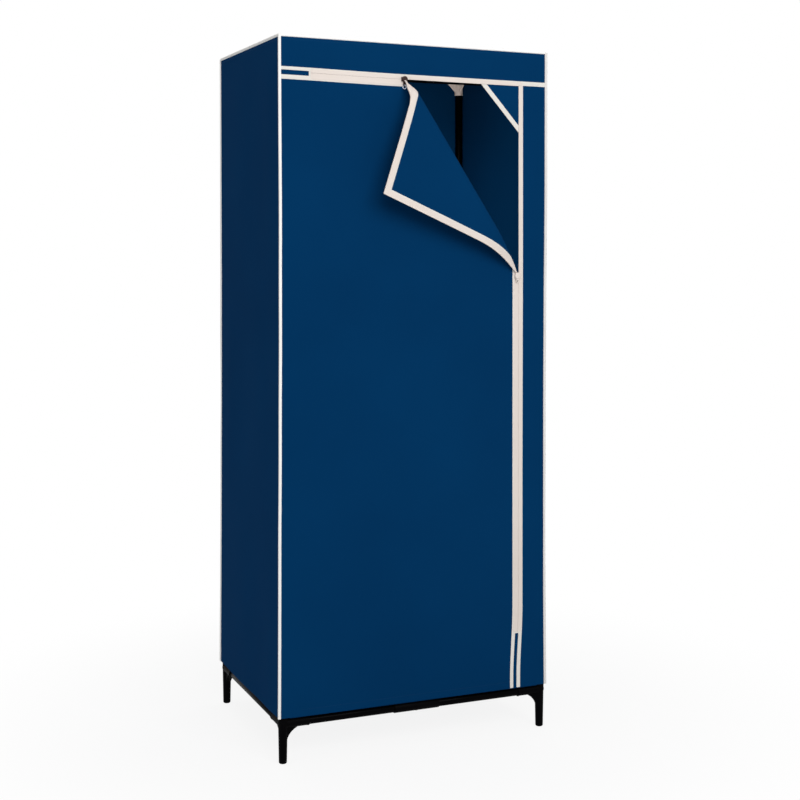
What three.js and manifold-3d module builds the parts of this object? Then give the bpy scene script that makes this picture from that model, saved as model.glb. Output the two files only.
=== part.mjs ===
// Portable fabric wardrobe: a push-together frame of steel tubes and moulded corner pieces,
// under a zipped cloth cover whose door has its top right corner folded out.
// Millimetres. X runs to the right, Y from the front into the wardrobe, Z up.
// The origin is on the floor, under the centre of the whole box, the folded corner included.
import * as THREE from 'three';
import { mergeVertices } from 'three/addons/utils/BufferGeometryUtils.js';
import Module from 'manifold-3d';

const wasm = await Module();
wasm.setup();

// The cover as a whole
const overallHeight = 1600;
const coverWidth = 662;
const coverDepth = 475;
const hemHeight = 102;

// Cloth, piping and zip tape
const clothThickness = 1;
const pipingRadius = 3.5;
const pipingInset = 1;
const loopSides = 8;
const loopRings = 6;
const tapeThickness = 2;
const tapeWidth = 13.5;

// Clearances between pieces
const seamGap = 0.3;
const socketGap = 0.3;
const foldGap = 0.6;
const slideGap = 0.3;
const railEndGap = 2;
const cutOverrun = 5;

// Zip lines on the front, and how far each zip is open from the door's corner
const headerDrop = 85.5;
const stileWidth = 79;
const openAlongTop = 287;
const openDownSide = 440;
const headerSlot = 65;
const stileSlit = 131;
const slitWidth = 6;

// The folded corner: two equal bends with a strip of cloth between them
const foldWidth = 35;
const foldBulge = 8;
const foldBend = THREE.MathUtils.degToRad(84);
const foldTopTrim = 25;
const foldFootTrim = 32;
const foldSideTrim = 3;
const foldSteps = 8;

// The gusset behind the opening's top right corner
const gussetAcross = 87;
const gussetDown = 98;
const gussetLap = 20;

// Tubes and sockets
const tubeRadius = 9.5;
const tubeWall = 0.9;
const socketWall = 1.7;
const boreDepth = 30;
const topReach = 50;
const baseReach = 60;
const baseRise = 45;
const baseRailHeight = 88;
const couplerLength = 110;
const swageLength = 40;
const swageStep = 3;
const uprightSplit = 830;
const tubeSides = 16;
const ballRings = 8;

// Legs and their webs
const legTopRadius = 10.5;
const legFootRadius = 9;
const legEdge = 1.5;
const legWebReach = 38;
const legWebDrop = 27;
const legWebThickness = 9;
const legWebSteps = 6;
const topWebReach = 30;
const topWebThickness = 4;

// Hanging rail
const hangingDrop = 38;
const saddleLength = 30;
const saddleReach = 26;
const saddleNeck = 14;

// Base board
const boardThickness = 4;

// Zip sliders, their pulls and the wire ring
const sliderLength = 14;
const sliderWidth = 10;
const sliderPlate = 3;
const sliderEdge = 0.6;
const pinRadius = 1.6;
const knobRadius = 5;
const knobThickness = 1.6;
const knobEdge = 0.4;
const pullThickness = 1.2;
const pullWidth = 7;
const pullLength = 13;
const pullHole = 1.9;
const ringRadius = 4.5;
const ringWire = 0.6;
const ringTurn = THREE.MathUtils.degToRad(45);
const ringSteps = 20;
const wireSides = 6;
const smallSides = 16;

// Places worked out from the sizes above
const socketRadius = tubeRadius + socketGap + socketWall;
const boreRadius = tubeRadius + socketGap;
const frameInset = clothThickness + seamGap + socketRadius;
const roofHeight = overallHeight - pipingRadius + pipingInset;
const rightFace = coverWidth / 2;
const leftFace = -rightFace;
const rearFace = coverDepth / 2;
const frontFace = -rearFace;
const pipingClear = pipingInset + pipingRadius + seamGap;
const postX = rightFace - frameInset;
const postY = rearFace - frameInset;
const topRailHeight = roofHeight - frameInset;
const zipHeight = overallHeight - headerDrop;
const zipAcross = rightFace - stileWidth;
const frontLeft = leftFace + pipingClear;
const frontRight = rightFace - pipingClear;
const panelTop = roofHeight - pipingClear;
const doorTop = zipHeight - seamGap / 2;
const doorRight = zipAcross - seamGap / 2;
const doorClothTop = doorTop - tapeWidth - seamGap;
const doorClothRight = doorRight - tapeWidth - seamGap;
const tapeLift = tapeThickness - clothThickness;

const wardrobe = new THREE.Group();

// Finishes
const navyCloth = new THREE.MeshStandardMaterial({ color: 0x04325b, roughness: 0.9, metalness: 0 });
const whiteTrim = new THREE.MeshStandardMaterial({ color: 0xe6e4e2, roughness: 0.8, metalness: 0 });
const beigeTape = new THREE.MeshStandardMaterial({ color: 0xe0d6ce, roughness: 0.8, metalness: 0 });
const blackSteel = new THREE.MeshStandardMaterial({ color: 0x0b0b0c, roughness: 0.3, metalness: 0.4 });
const blackPlastic = new THREE.MeshStandardMaterial({ color: 0x101011, roughness: 0.6, metalness: 0 });
const greyPlastic = new THREE.MeshStandardMaterial({ color: 0x8c857f, roughness: 0.5, metalness: 0 });
const brownMetal = new THREE.MeshStandardMaterial({ color: 0x5d4f4d, roughness: 0.4, metalness: 0.7 });
const creamMetal = new THREE.MeshStandardMaterial({ color: 0xe0d6ce, roughness: 0.5, metalness: 0.2 });
const brightWire = new THREE.MeshStandardMaterial({ color: 0xa9aec0, roughness: 0.3, metalness: 0.9 });

// Helpers

function addPiece(parent, name, geometry, material) {
  const mesh = new THREE.Mesh(geometry, material);
  mesh.name = name;
  parent.add(mesh);
  return mesh;
}

// Turn a closed three.js geometry into a solid that can be joined and cut.
function solidFrom(geometry) {
  const plain = geometry.clone();
  plain.deleteAttribute('normal');
  plain.deleteAttribute('uv');
  const merged = mergeVertices(plain);
  return new wasm.Manifold(new wasm.Mesh({
    numProp: 3,
    vertProperties: new Float32Array(merged.attributes.position.array),
    triVerts: new Uint32Array(merged.index.array),
  }));
}

function geometryFrom(solid) {
  const mesh = solid.getMesh();
  const geometry = new THREE.BufferGeometry();
  geometry.setAttribute('position', new THREE.BufferAttribute(mesh.vertProperties, 3));
  geometry.setIndex(new THREE.BufferAttribute(mesh.triVerts, 1));
  geometry.computeVertexNormals();
  return geometry;
}

// A cylinder between two points, as a solid.
function rod(from, to, radius, sides = tubeSides) {
  const span = new THREE.Vector3().subVectors(to, from);
  const middle = new THREE.Vector3().addVectors(from, to).multiplyScalar(0.5);
  const turn = new THREE.Quaternion().setFromUnitVectors(
    new THREE.Vector3(0, 1, 0), span.clone().normalize());
  const geometry = new THREE.CylinderGeometry(radius, radius, span.length(), sides);
  geometry.applyQuaternion(turn);
  geometry.translate(middle.x, middle.y, middle.z);
  return solidFrom(geometry);
}

function ball(centre, radius, sides = tubeSides, rings = ballRings) {
  const geometry = new THREE.SphereGeometry(radius, sides, rings);
  geometry.translate(centre.x, centre.y, centre.z);
  return solidFrom(geometry);
}

// A flat outline of [x, y] points, given a thickness along its own Z.
function plate(points, thickness) {
  const shape = new THREE.Shape(points.map(([x, y]) => new THREE.Vector2(x, y)));
  return new THREE.ExtrudeGeometry(shape, { depth: thickness, bevelEnabled: false });
}

// A hollow tube along its own Z, starting at its origin.
function tubeShape(length, outer, inner) {
  const shape = new THREE.Shape().absarc(0, 0, outer, 0, 2 * Math.PI);
  shape.holes.push(new THREE.Path().absarc(0, 0, inner, 0, 2 * Math.PI));
  return new THREE.ExtrudeGeometry(shape, {
    depth: length, bevelEnabled: false, curveSegments: tubeSides / 2,
  });
}

// A box between its low and high corners.
function boxBetween(low, high) {
  const geometry = new THREE.BoxGeometry(high[0] - low[0], high[1] - low[1], high[2] - low[2]);
  geometry.translate((low[0] + high[0]) / 2, (low[1] + high[1]) / 2, (low[2] + high[2]) / 2);
  return geometry;
}

// A group whose X and Y are the wardrobe's X and Z, and whose Z looks out of the front.
function frontGroup(depth) {
  const group = new THREE.Group();
  group.position.y = depth;
  group.rotation.x = Math.PI / 2;
  wardrobe.add(group);
  return group;
}

// The four corners of the plan: each corner piece is the front left one, turned.
const corners = [
  { name: 'front_left', x: -postX, y: -postY, turn: 0 },
  { name: 'front_right', x: postX, y: -postY, turn: Math.PI / 2 },
  { name: 'rear_right', x: postX, y: postY, turn: Math.PI },
  { name: 'rear_left', x: -postX, y: postY, turn: -Math.PI / 2 },
];

// Three sockets that meet in a ball: along X, along Y, and up or down.
function threeSockets(flatReach, uprightReach, webs) {
  const centre = new THREE.Vector3();
  const arms = [
    new THREE.Vector3(flatReach, 0, 0),
    new THREE.Vector3(0, flatReach, 0),
    new THREE.Vector3(0, 0, uprightReach),
  ];
  let body = ball(centre, socketRadius);
  for (const arm of arms) {
    body = body.add(rod(centre, arm, socketRadius));
  }
  for (const web of webs) {
    body = body.add(web);
  }
  for (const arm of arms) {
    const start = arm.clone().setLength(arm.length() - boreDepth);
    const end = arm.clone().setLength(arm.length() + cutOverrun);
    body = body.subtract(rod(start, end, boreRadius));
  }
  return body;
}

// Thin webs under the two flat sockets, in the XZ and YZ planes.
function websBelow(outline, thickness) {
  return [0, Math.PI / 2].map((turn) => {
    const geometry = new THREE.ExtrudeGeometry(outline, {
      depth: thickness, bevelEnabled: false, curveSegments: legWebSteps,
    });
    geometry.translate(0, 0, -thickness / 2);
    geometry.rotateX(Math.PI / 2);
    geometry.rotateZ(turn);
    return solidFrom(geometry);
  });
}

// Base corner pieces: three sockets on a tapered leg, with a hollow-curved web on each side.
function makeFootConnectors() {
  const webOutline = new THREE.Shape();
  const webInner = legFootRadius;
  webOutline.moveTo(0, 0);
  webOutline.lineTo(0, -socketRadius - legWebDrop);
  webOutline.lineTo(webInner, -socketRadius - legWebDrop);
  webOutline.quadraticCurveTo(webInner, -socketRadius, webInner + legWebReach, -socketRadius);
  webOutline.lineTo(webInner + legWebReach, 0);
  webOutline.closePath();
  const legOutline = [
    new THREE.Vector2(0, -baseRailHeight),
    new THREE.Vector2(legFootRadius - legEdge, -baseRailHeight),
    new THREE.Vector2(legFootRadius, -baseRailHeight + legEdge),
    new THREE.Vector2(legTopRadius, 0),
    new THREE.Vector2(0, 0),
  ];
  const legGeometry = new THREE.LatheGeometry(legOutline, tubeSides);
  legGeometry.rotateX(Math.PI / 2);
  const leg = solidFrom(legGeometry);
  const webs = websBelow(webOutline, legWebThickness);
  const solid = threeSockets(baseReach, baseRise, [leg, ...webs]);
  for (const corner of corners) {
    const piece = addPiece(wardrobe, `foot_connector_${corner.name}`, geometryFrom(solid), blackPlastic);
    piece.position.set(corner.x, corner.y, baseRailHeight);
    piece.rotation.z = corner.turn;
  }
}

// Top corner pieces: the same three sockets, pointing down, with straight webs.
function makeTopConnectors() {
  const webSide = socketRadius + topWebReach;
  const webOutline = new THREE.Shape([
    new THREE.Vector2(0, 0),
    new THREE.Vector2(0, -webSide),
    new THREE.Vector2(webSide, 0),
  ]);
  const solid = threeSockets(topReach, -topReach, websBelow(webOutline, topWebThickness));
  for (const corner of corners) {
    const piece = addPiece(wardrobe, `top_connector_${corner.name}`, geometryFrom(solid), greyPlastic);
    piece.position.set(corner.x, corner.y, topRailHeight);
    piece.rotation.z = corner.turn;
  }
}

// Each upright is a lower tube with a reduced neck, and an upper tube that slips over it.
function makeUprights() {
  const foot = baseRailHeight + baseRise - boreDepth + seamGap;
  const head = topRailHeight - topReach + boreDepth - seamGap;
  const bore = tubeRadius - tubeWall;
  const neckRadius = bore - socketGap;
  const neckBore = neckRadius - tubeWall;
  const shoulder = uprightSplit - foot;
  const lowerOutline = [
    new THREE.Vector2(bore, 0),
    new THREE.Vector2(tubeRadius, 0),
    new THREE.Vector2(tubeRadius, shoulder),
    new THREE.Vector2(neckRadius, shoulder),
    new THREE.Vector2(neckRadius, shoulder + swageLength),
    new THREE.Vector2(neckBore, shoulder + swageLength),
    new THREE.Vector2(neckBore, shoulder),
    new THREE.Vector2(bore, shoulder - swageStep),
    new THREE.Vector2(bore, 0),
  ];
  const upperStart = uprightSplit + seamGap;
  for (const corner of corners) {
    const lowerGeometry = new THREE.LatheGeometry(lowerOutline, tubeSides);
    lowerGeometry.rotateX(Math.PI / 2);
    const lower = addPiece(wardrobe, `upright_lower_${corner.name}`, lowerGeometry, blackSteel);
    lower.position.set(corner.x, corner.y, foot);
    const upper = addPiece(wardrobe, `upright_upper_${corner.name}`,
      tubeShape(head - upperStart, tubeRadius, bore), blackSteel);
    upper.position.set(corner.x, corner.y, upperStart);
  }
}

// A rail along X or along Y, from its low end to its high end.
function makeRail(name, alongX, start, end, side, height) {
  const bore = tubeRadius - tubeWall;
  const rail = addPiece(wardrobe, name, tubeShape(end - start, tubeRadius, bore), blackSteel);
  if (alongX) {
    rail.rotation.y = Math.PI / 2;
    rail.position.set(start, side, height);
  } else {
    rail.rotation.x = -Math.PI / 2;
    rail.position.set(side, start, height);
  }
}

function makeRails() {
  const baseStop = baseReach - boreDepth + seamGap;
  const topStop = topReach - boreDepth + seamGap;
  for (const [place, y] of [['front', -postY], ['rear', postY]]) {
    const end = postX - baseStop;
    makeRail(`base_${place}_rail_left`, true, -end, -railEndGap / 2, y, baseRailHeight);
    makeRail(`base_${place}_rail_right`, true, railEndGap / 2, end, y, baseRailHeight);
    const sleeve = addPiece(wardrobe, `base_${place}_rail_sleeve`,
      tubeShape(couplerLength, socketRadius, boreRadius), blackPlastic);
    sleeve.rotation.y = Math.PI / 2;
    sleeve.position.set(-couplerLength / 2, y, baseRailHeight);
    makeRail(`top_${place}_rail`, true, -postX + topStop, postX - topStop, y, topRailHeight);
  }
  for (const [place, x] of [['left', -postX], ['right', postX]]) {
    makeRail(`base_side_rail_${place}`, false, -postY + baseStop, postY - baseStop, x, baseRailHeight);
    makeRail(`top_side_rail_${place}`, false, -postY + topStop, postY - topStop, x, topRailHeight);
  }
}

// The hanging rail runs across the middle, in two saddles that ride on the top side rails.
function makeHangingRail() {
  const hangingHeight = topRailHeight - hangingDrop;
  const solid = rod(new THREE.Vector3(0, -saddleLength / 2, 0),
    new THREE.Vector3(0, saddleLength / 2, 0), socketRadius)
    .add(rod(new THREE.Vector3(-socketRadius, 0, -hangingDrop),
      new THREE.Vector3(saddleReach, 0, -hangingDrop), socketRadius))
    .add(solidFrom(boxBetween(
      [-socketRadius, -saddleNeck / 2, -hangingDrop],
      [socketRadius, saddleNeck / 2, 0])))
    .subtract(rod(new THREE.Vector3(0, -saddleLength / 2 - cutOverrun, 0),
      new THREE.Vector3(0, saddleLength / 2 + cutOverrun, 0), boreRadius))
    .subtract(rod(new THREE.Vector3(saddleReach - boreDepth, 0, -hangingDrop),
      new THREE.Vector3(saddleReach + cutOverrun, 0, -hangingDrop), boreRadius));
  for (const [place, x, turn] of [['left', -postX, 0], ['right', postX, Math.PI]]) {
    const saddle = addPiece(wardrobe, `hanging_rail_saddle_${place}`, geometryFrom(solid), greyPlastic);
    saddle.position.set(x, 0, topRailHeight);
    saddle.rotation.z = turn;
  }
  const railEnd = postX - saddleReach + boreDepth - seamGap;
  makeRail('hanging_rail', true, -railEnd, railEnd, 0, hangingHeight);
}

// A board that rests on the base, notched around the four uprights.
function makeBoard() {
  const halfX = rightFace - clothThickness - seamGap;
  const halfY = rearFace - clothThickness - seamGap;
  const notchX = postX - socketRadius - seamGap;
  const notchY = postY - socketRadius - seamGap;
  const outline = [
    [-notchX, -halfY], [notchX, -halfY], [notchX, -notchY], [halfX, -notchY],
    [halfX, notchY], [notchX, notchY], [notchX, halfY], [-notchX, halfY],
    [-notchX, notchY], [-halfX, notchY], [-halfX, -notchY], [-notchX, -notchY],
  ];
  const board = addPiece(wardrobe, 'base_panel', plate(outline, boardThickness), navyCloth);
  board.position.z = baseRailHeight + socketRadius + seamGap;
}

// The fixed walls and roof of the cover.
function makeCover() {
  const wallY = rearFace - pipingClear;
  const wallX = rightFace - pipingClear;
  addPiece(wardrobe, 'cover_left_side', boxBetween(
    [leftFace, -wallY, hemHeight], [leftFace + clothThickness, wallY, panelTop]), navyCloth);
  addPiece(wardrobe, 'cover_right_side', boxBetween(
    [rightFace - clothThickness, -wallY, hemHeight], [rightFace, wallY, panelTop]), navyCloth);
  addPiece(wardrobe, 'cover_back', boxBetween(
    [-wallX, rearFace - clothThickness, hemHeight], [wallX, rearFace, panelTop]), navyCloth);
  addPiece(wardrobe, 'cover_top', boxBetween(
    [-wallX, -wallY, roofHeight - clothThickness], [wallX, wallY, roofHeight]), navyCloth);
  const bandFoot = zipHeight + seamGap / 2 + tapeWidth + seamGap;
  addPiece(wardrobe, 'header_band', boxBetween(
    [frontLeft, frontFace, bandFoot],
    [frontRight, frontFace + clothThickness, panelTop]), navyCloth);
  const stileLeft = zipAcross + seamGap / 2 + tapeWidth + seamGap;
  addPiece(wardrobe, 'right_stile', boxBetween(
    [stileLeft, frontFace, hemHeight],
    [frontRight, frontFace + clothThickness, doorTop]), navyCloth);
}

// Piping: one cord up each edge, and a loop around the roof.
function makePiping() {
  const cordX = rightFace - pipingInset;
  const cordY = rearFace - pipingInset;
  const loopHeight = roofHeight - pipingInset;
  const cordTop = loopHeight - pipingRadius - seamGap;
  const plan = [
    { name: 'front_left', x: -cordX, y: -cordY },
    { name: 'front_right', x: cordX, y: -cordY },
    { name: 'rear_right', x: cordX, y: cordY },
    { name: 'rear_left', x: -cordX, y: cordY },
  ];
  let loop = null;
  plan.forEach((corner, index) => {
    const next = plan[(index + 1) % plan.length];
    const here = new THREE.Vector3(corner.x, corner.y, loopHeight);
    const there = new THREE.Vector3(next.x, next.y, loopHeight);
    const side = rod(here, there, pipingRadius, loopSides)
      .add(ball(here, pipingRadius, loopSides, loopRings));
    loop = loop ? loop.add(side) : side;
    const cord = addPiece(wardrobe, `piping_${corner.name}`,
      new THREE.CylinderGeometry(pipingRadius, pipingRadius, cordTop - hemHeight, tubeSides), whiteTrim);
    cord.rotation.x = Math.PI / 2;
    cord.position.set(corner.x, corner.y, (cordTop + hemHeight) / 2);
  });
  addPiece(wardrobe, 'piping_top_loop', geometryFrom(loop), whiteTrim);
}

// The fixed halves of the two zips.
function makeFixedTapes() {
  const front = frontGroup(frontFace + clothThickness);
  addPiece(front, 'header_zip_tape', plate([
    [frontLeft, zipHeight + seamGap / 2], [frontRight, zipHeight + seamGap / 2],
    [frontRight, zipHeight + seamGap / 2 + tapeWidth], [frontLeft, zipHeight + seamGap / 2 + tapeWidth],
  ], tapeThickness), beigeTape);
  const inner = zipAcross + seamGap / 2;
  addPiece(front, 'stile_zip_tape', plate([
    [inner, hemHeight], [inner + tapeWidth, hemHeight],
    [inner + tapeWidth, doorTop], [inner, doorTop],
  ], tapeThickness), beigeTape);
}

// A triangle of cloth behind the top right corner of the opening.
function makeGusset() {
  const back = frontGroup(frontFace + clothThickness + seamGap + clothThickness);
  const outerX = zipAcross + gussetLap;
  const outerZ = zipHeight + gussetLap;
  addPiece(back, 'corner_gusset', plate([
    [zipAcross - gussetAcross, outerZ], [zipAcross - gussetAcross, zipHeight],
    [zipAcross, zipHeight - gussetDown], [outerX, zipHeight - gussetDown],
    [outerX, outerZ],
  ], clothThickness), navyCloth);
}

// The crease runs from the top slider's place down to the side slider's place.
const creaseFoot = new THREE.Vector2(doorRight, doorTop - openDownSide);
const creaseHead = new THREE.Vector2(doorRight - openAlongTop, doorTop);
const creaseUp = creaseHead.clone().sub(creaseFoot).normalize();
const creaseOut = new THREE.Vector2(creaseUp.y, -creaseUp.x);
const creaseLength = creaseHead.distanceTo(creaseFoot);

// Where a line beside the crease, on its outer side if the offset is positive, meets an edge.
function creaseAtX(x, offset) {
  return creaseFoot.y + (offset - (x - creaseFoot.x) * creaseOut.x) / creaseOut.y;
}

function creaseAtHeight(height, offset) {
  return creaseFoot.x + (offset - (height - creaseFoot.y) * creaseOut.y) / creaseOut.x;
}

// The door's flat cloth and the two lengths of its zip that are still closed.
function makeDoor() {
  const door = frontGroup(frontFace + clothThickness);
  addPiece(door, 'door_panel', plate([
    [frontLeft, hemHeight], [doorClothRight, hemHeight],
    [doorClothRight, creaseAtX(doorClothRight, -foldGap)],
    [creaseAtHeight(doorClothTop, -foldGap), doorClothTop], [frontLeft, doorClothTop],
  ], clothThickness), navyCloth);
  const tapeBottom = doorTop - tapeWidth;
  const tapeLeft = doorRight - tapeWidth;
  addPiece(door, 'door_top_zip_tape', plate([
    [frontLeft, tapeBottom], [creaseAtHeight(tapeBottom, -foldGap), tapeBottom],
    [creaseAtHeight(doorTop, -foldGap), doorTop], [frontLeft + headerSlot, doorTop],
    [frontLeft + headerSlot, doorTop - slitWidth], [frontLeft, doorTop - slitWidth],
  ], tapeThickness), beigeTape);
  const slitTop = hemHeight + stileSlit;
  addPiece(door, 'door_side_zip_tape', plate([
    [tapeLeft, hemHeight], [doorRight - slitWidth, hemHeight], [doorRight - slitWidth, slitTop],
    [doorRight, slitTop], [doorRight, creaseAtX(doorRight, -foldGap)],
    [tapeLeft, creaseAtX(tapeLeft, -foldGap)],
  ], tapeThickness), beigeTape);
}

// A point of the front plane as [across the crease, up the crease].
function besideCrease(x, height) {
  const offset = new THREE.Vector2(x, height).sub(creaseFoot);
  return [offset.dot(creaseOut), offset.dot(creaseUp)];
}

// A strip of cloth that curves in one bulge over its width, and is cut at each end by a line.
function bentStrip(width, bulge, thickness, footAt, headAt) {
  const radius = (width * width / 4 + bulge * bulge) / (2 * bulge);
  const half = Math.asin(width / 2 / radius);
  const positions = [];
  for (let step = 0; step <= foldSteps; step += 1) {
    const angle = half * (2 * step / foldSteps - 1);
    const across = width / 2 + radius * Math.sin(angle);
    for (const side of [-0.5, 0.5]) {
      const reach = radius + side * thickness;
      const x = width / 2 + reach * Math.sin(angle);
      const z = radius * Math.cos(half) - reach * Math.cos(angle);
      positions.push(x, headAt(across), z, x, footAt(across), z);
    }
  }
  const triangles = [];
  const addQuad = (a, b, c, d) => triangles.push(a, b, c, a, c, d);
  for (let step = 0; step < foldSteps; step += 1) {
    const here = 4 * step;
    const next = here + 4;
    addQuad(here, here + 1, next + 1, next);
    addQuad(here + 2, next + 2, next + 3, here + 3);
    addQuad(here, next, next + 2, here + 2);
    addQuad(here + 1, here + 3, next + 3, next + 1);
  }
  const last = 4 * foldSteps;
  addQuad(0, 2, 3, 1);
  addQuad(last, last + 1, last + 3, last + 2);
  const geometry = new THREE.BufferGeometry();
  geometry.setAttribute('position', new THREE.Float32BufferAttribute(positions, 3));
  geometry.setIndex(triangles);
  geometry.computeVertexNormals();
  return geometry;
}

// The folded corner: the strip stands out of the door at the first bend, and the corner lies
// back over the door from the second bend.
function makeFoldedCorner() {
  const creaseGroup = new THREE.Group();
  const out = new THREE.Vector3(creaseOut.x, 0, creaseOut.y);
  const up = new THREE.Vector3(creaseUp.x, 0, creaseUp.y);
  const forward = new THREE.Vector3().crossVectors(out, up);
  creaseGroup.setRotationFromMatrix(new THREE.Matrix4().makeBasis(out, up, forward));
  creaseGroup.position.set(creaseFoot.x, frontFace + clothThickness / 2, creaseFoot.y);
  wardrobe.add(creaseGroup);

  const firstBend = new THREE.Group();
  firstBend.rotation.y = -foldBend;
  creaseGroup.add(firstBend);
  const [cornerAcross, cornerUp] = besideCrease(doorRight, doorTop);
  const footSlope = cornerUp / cornerAcross;
  const stripWidth = foldWidth - 2 * foldGap;
  const strip = addPiece(firstBend, 'corner_fold', bentStrip(
    stripWidth, foldBulge, clothThickness,
    (across) => Math.max(foldFootTrim, footSlope * across + foldSideTrim),
    () => creaseLength - foldTopTrim), navyCloth);
  strip.position.x = foldGap;

  const secondBend = new THREE.Group();
  secondBend.position.x = foldWidth;
  secondBend.rotation.y = -foldBend;
  firstBend.add(secondBend);
  const start = foldWidth + foldGap;
  const onCorner = (x, height) => {
    const [across, along] = besideCrease(x, height);
    return [across - foldWidth, along];
  };
  const flap = addPiece(secondBend, 'door_corner_flap', plate([
    onCorner(doorClothRight, creaseAtX(doorClothRight, start)),
    onCorner(doorClothRight, doorClothTop),
    onCorner(creaseAtHeight(doorClothTop, start), doorClothTop),
  ], clothThickness), navyCloth);
  flap.position.z = -clothThickness / 2;
  const tapeLeft = doorRight - tapeWidth;
  const tapeBottom = doorTop - tapeWidth;
  const tape = addPiece(secondBend, 'flap_zip_tape', plate([
    onCorner(tapeLeft, creaseAtX(tapeLeft, start)),
    onCorner(doorRight, creaseAtX(doorRight, start)),
    onCorner(doorRight, doorTop),
    onCorner(creaseAtHeight(doorTop, start), doorTop),
    onCorner(creaseAtHeight(tapeBottom, start), tapeBottom),
    onCorner(tapeLeft, tapeBottom),
  ], tapeThickness), beigeTape);
  tape.position.z = -clothThickness / 2;
}

// A slider: a plate with a pin and a round knob. Its own Z looks out of the front.
function sliderShape(lengthAlongX) {
  const halfX = (lengthAlongX ? sliderLength : sliderWidth) / 2;
  const halfY = (lengthAlongX ? sliderWidth : sliderLength) / 2;
  const outline = new THREE.Shape([
    new THREE.Vector2(-halfX + sliderEdge, -halfY + sliderEdge),
    new THREE.Vector2(halfX - sliderEdge, -halfY + sliderEdge),
    new THREE.Vector2(halfX - sliderEdge, halfY - sliderEdge),
    new THREE.Vector2(-halfX + sliderEdge, halfY - sliderEdge),
  ]);
  const plateGeometry = new THREE.ExtrudeGeometry(outline, {
    depth: sliderPlate - 2 * sliderEdge, bevelThickness: sliderEdge, bevelSize: sliderEdge, bevelSegments: 1,
  });
  plateGeometry.translate(0, 0, sliderEdge);
  const knobStart = sliderPlate + pullThickness + 2 * slideGap;
  const knobOutline = [
    new THREE.Vector2(0, knobStart),
    new THREE.Vector2(knobRadius - knobEdge, knobStart),
    new THREE.Vector2(knobRadius, knobStart + knobEdge),
    new THREE.Vector2(knobRadius, knobStart + knobThickness - knobEdge),
    new THREE.Vector2(knobRadius - knobEdge, knobStart + knobThickness),
    new THREE.Vector2(0, knobStart + knobThickness),
  ];
  const knobGeometry = new THREE.LatheGeometry(knobOutline, smallSides);
  knobGeometry.rotateX(Math.PI / 2);
  const pin = rod(new THREE.Vector3(0, 0, sliderEdge),
    new THREE.Vector3(0, 0, knobStart + knobEdge), pinRadius, smallSides);
  return geometryFrom(solidFrom(plateGeometry).add(pin).add(solidFrom(knobGeometry)));
}

// A pull tab that hangs from its eye on the pin, with a hole near its tip.
function pullShape() {
  const shape = new THREE.Shape();
  shape.moveTo(-pullWidth / 2, 0);
  shape.lineTo(-pullWidth / 2, -pullLength);
  shape.absarc(0, -pullLength, pullWidth / 2, Math.PI, 2 * Math.PI);
  shape.lineTo(pullWidth / 2, 0);
  shape.absarc(0, 0, pullWidth / 2, 0, Math.PI);
  const holes = [[0, pinRadius + slideGap], [-pullLength, pullHole]];
  for (const [height, radius] of holes) {
    shape.holes.push(new THREE.Path().absarc(0, height, radius, 0, 2 * Math.PI));
  }
  return new THREE.ExtrudeGeometry(shape, {
    depth: pullThickness, bevelEnabled: false, curveSegments: smallSides / 2,
  });
}

function makeSliders() {
  const face = frontGroup(frontFace - tapeLift - slideGap);
  const topX = creaseHead.x;
  const sideZ = creaseFoot.y - sliderLength / 2;
  const topSlider = addPiece(face, 'top_slider', sliderShape(true), brownMetal);
  topSlider.position.set(topX, zipHeight, 0);
  const sideSlider = addPiece(face, 'side_slider', sliderShape(false), creamMetal);
  sideSlider.position.set(zipAcross, sideZ, 0);
  const pullStart = sliderPlate + slideGap;
  const topPull = addPiece(face, 'top_pull', pullShape(), brownMetal);
  topPull.position.set(topX, zipHeight, pullStart);
  const sidePull = addPiece(face, 'side_pull', pullShape(), creamMetal);
  sidePull.position.set(zipAcross, sideZ, pullStart);
  const ring = addPiece(face, 'top_ring',
    new THREE.TorusGeometry(ringRadius, ringWire, wireSides, ringSteps), brightWire);
  ring.rotation.y = ringTurn;
  ring.position.set(topX, zipHeight - pullLength - ringRadius, pullStart + pullThickness / 2);
}

makeFootConnectors();
makeTopConnectors();
makeUprights();
makeRails();
makeHangingRail();
makeBoard();
makeCover();
makePiping();
makeFixedTapes();
makeGusset();
makeDoor();
makeFoldedCorner();
makeSliders();

// Centre the whole box on the origin: the folded corner reaches out of the front.
const wholeBox = new THREE.Box3().setFromObject(wardrobe, true);
wardrobe.position.y = -(wholeBox.min.y + wholeBox.max.y) / 2;

export default wardrobe;
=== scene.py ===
# %% [markdown]
# # A fabric wardrobe on a tube frame
# The real object is a light frame of steel tubes that push into moulded corner pieces. A cover of
# thin navy cloth hangs over it, with white piping on its edges, and its front is a door that two
# zips close. The top right corner of the door is unzipped and folded out.
# The frame of the model is already there as solid parts. This lesson dresses it: it makes the
# cloth, the zips, the piping and the finishes, and it leaves every part where the frame has it.

# %% Load the frame
import math
from contextlib import contextmanager
import bpy
import numpy as np
from mathutils import Matrix, Vector


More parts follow.
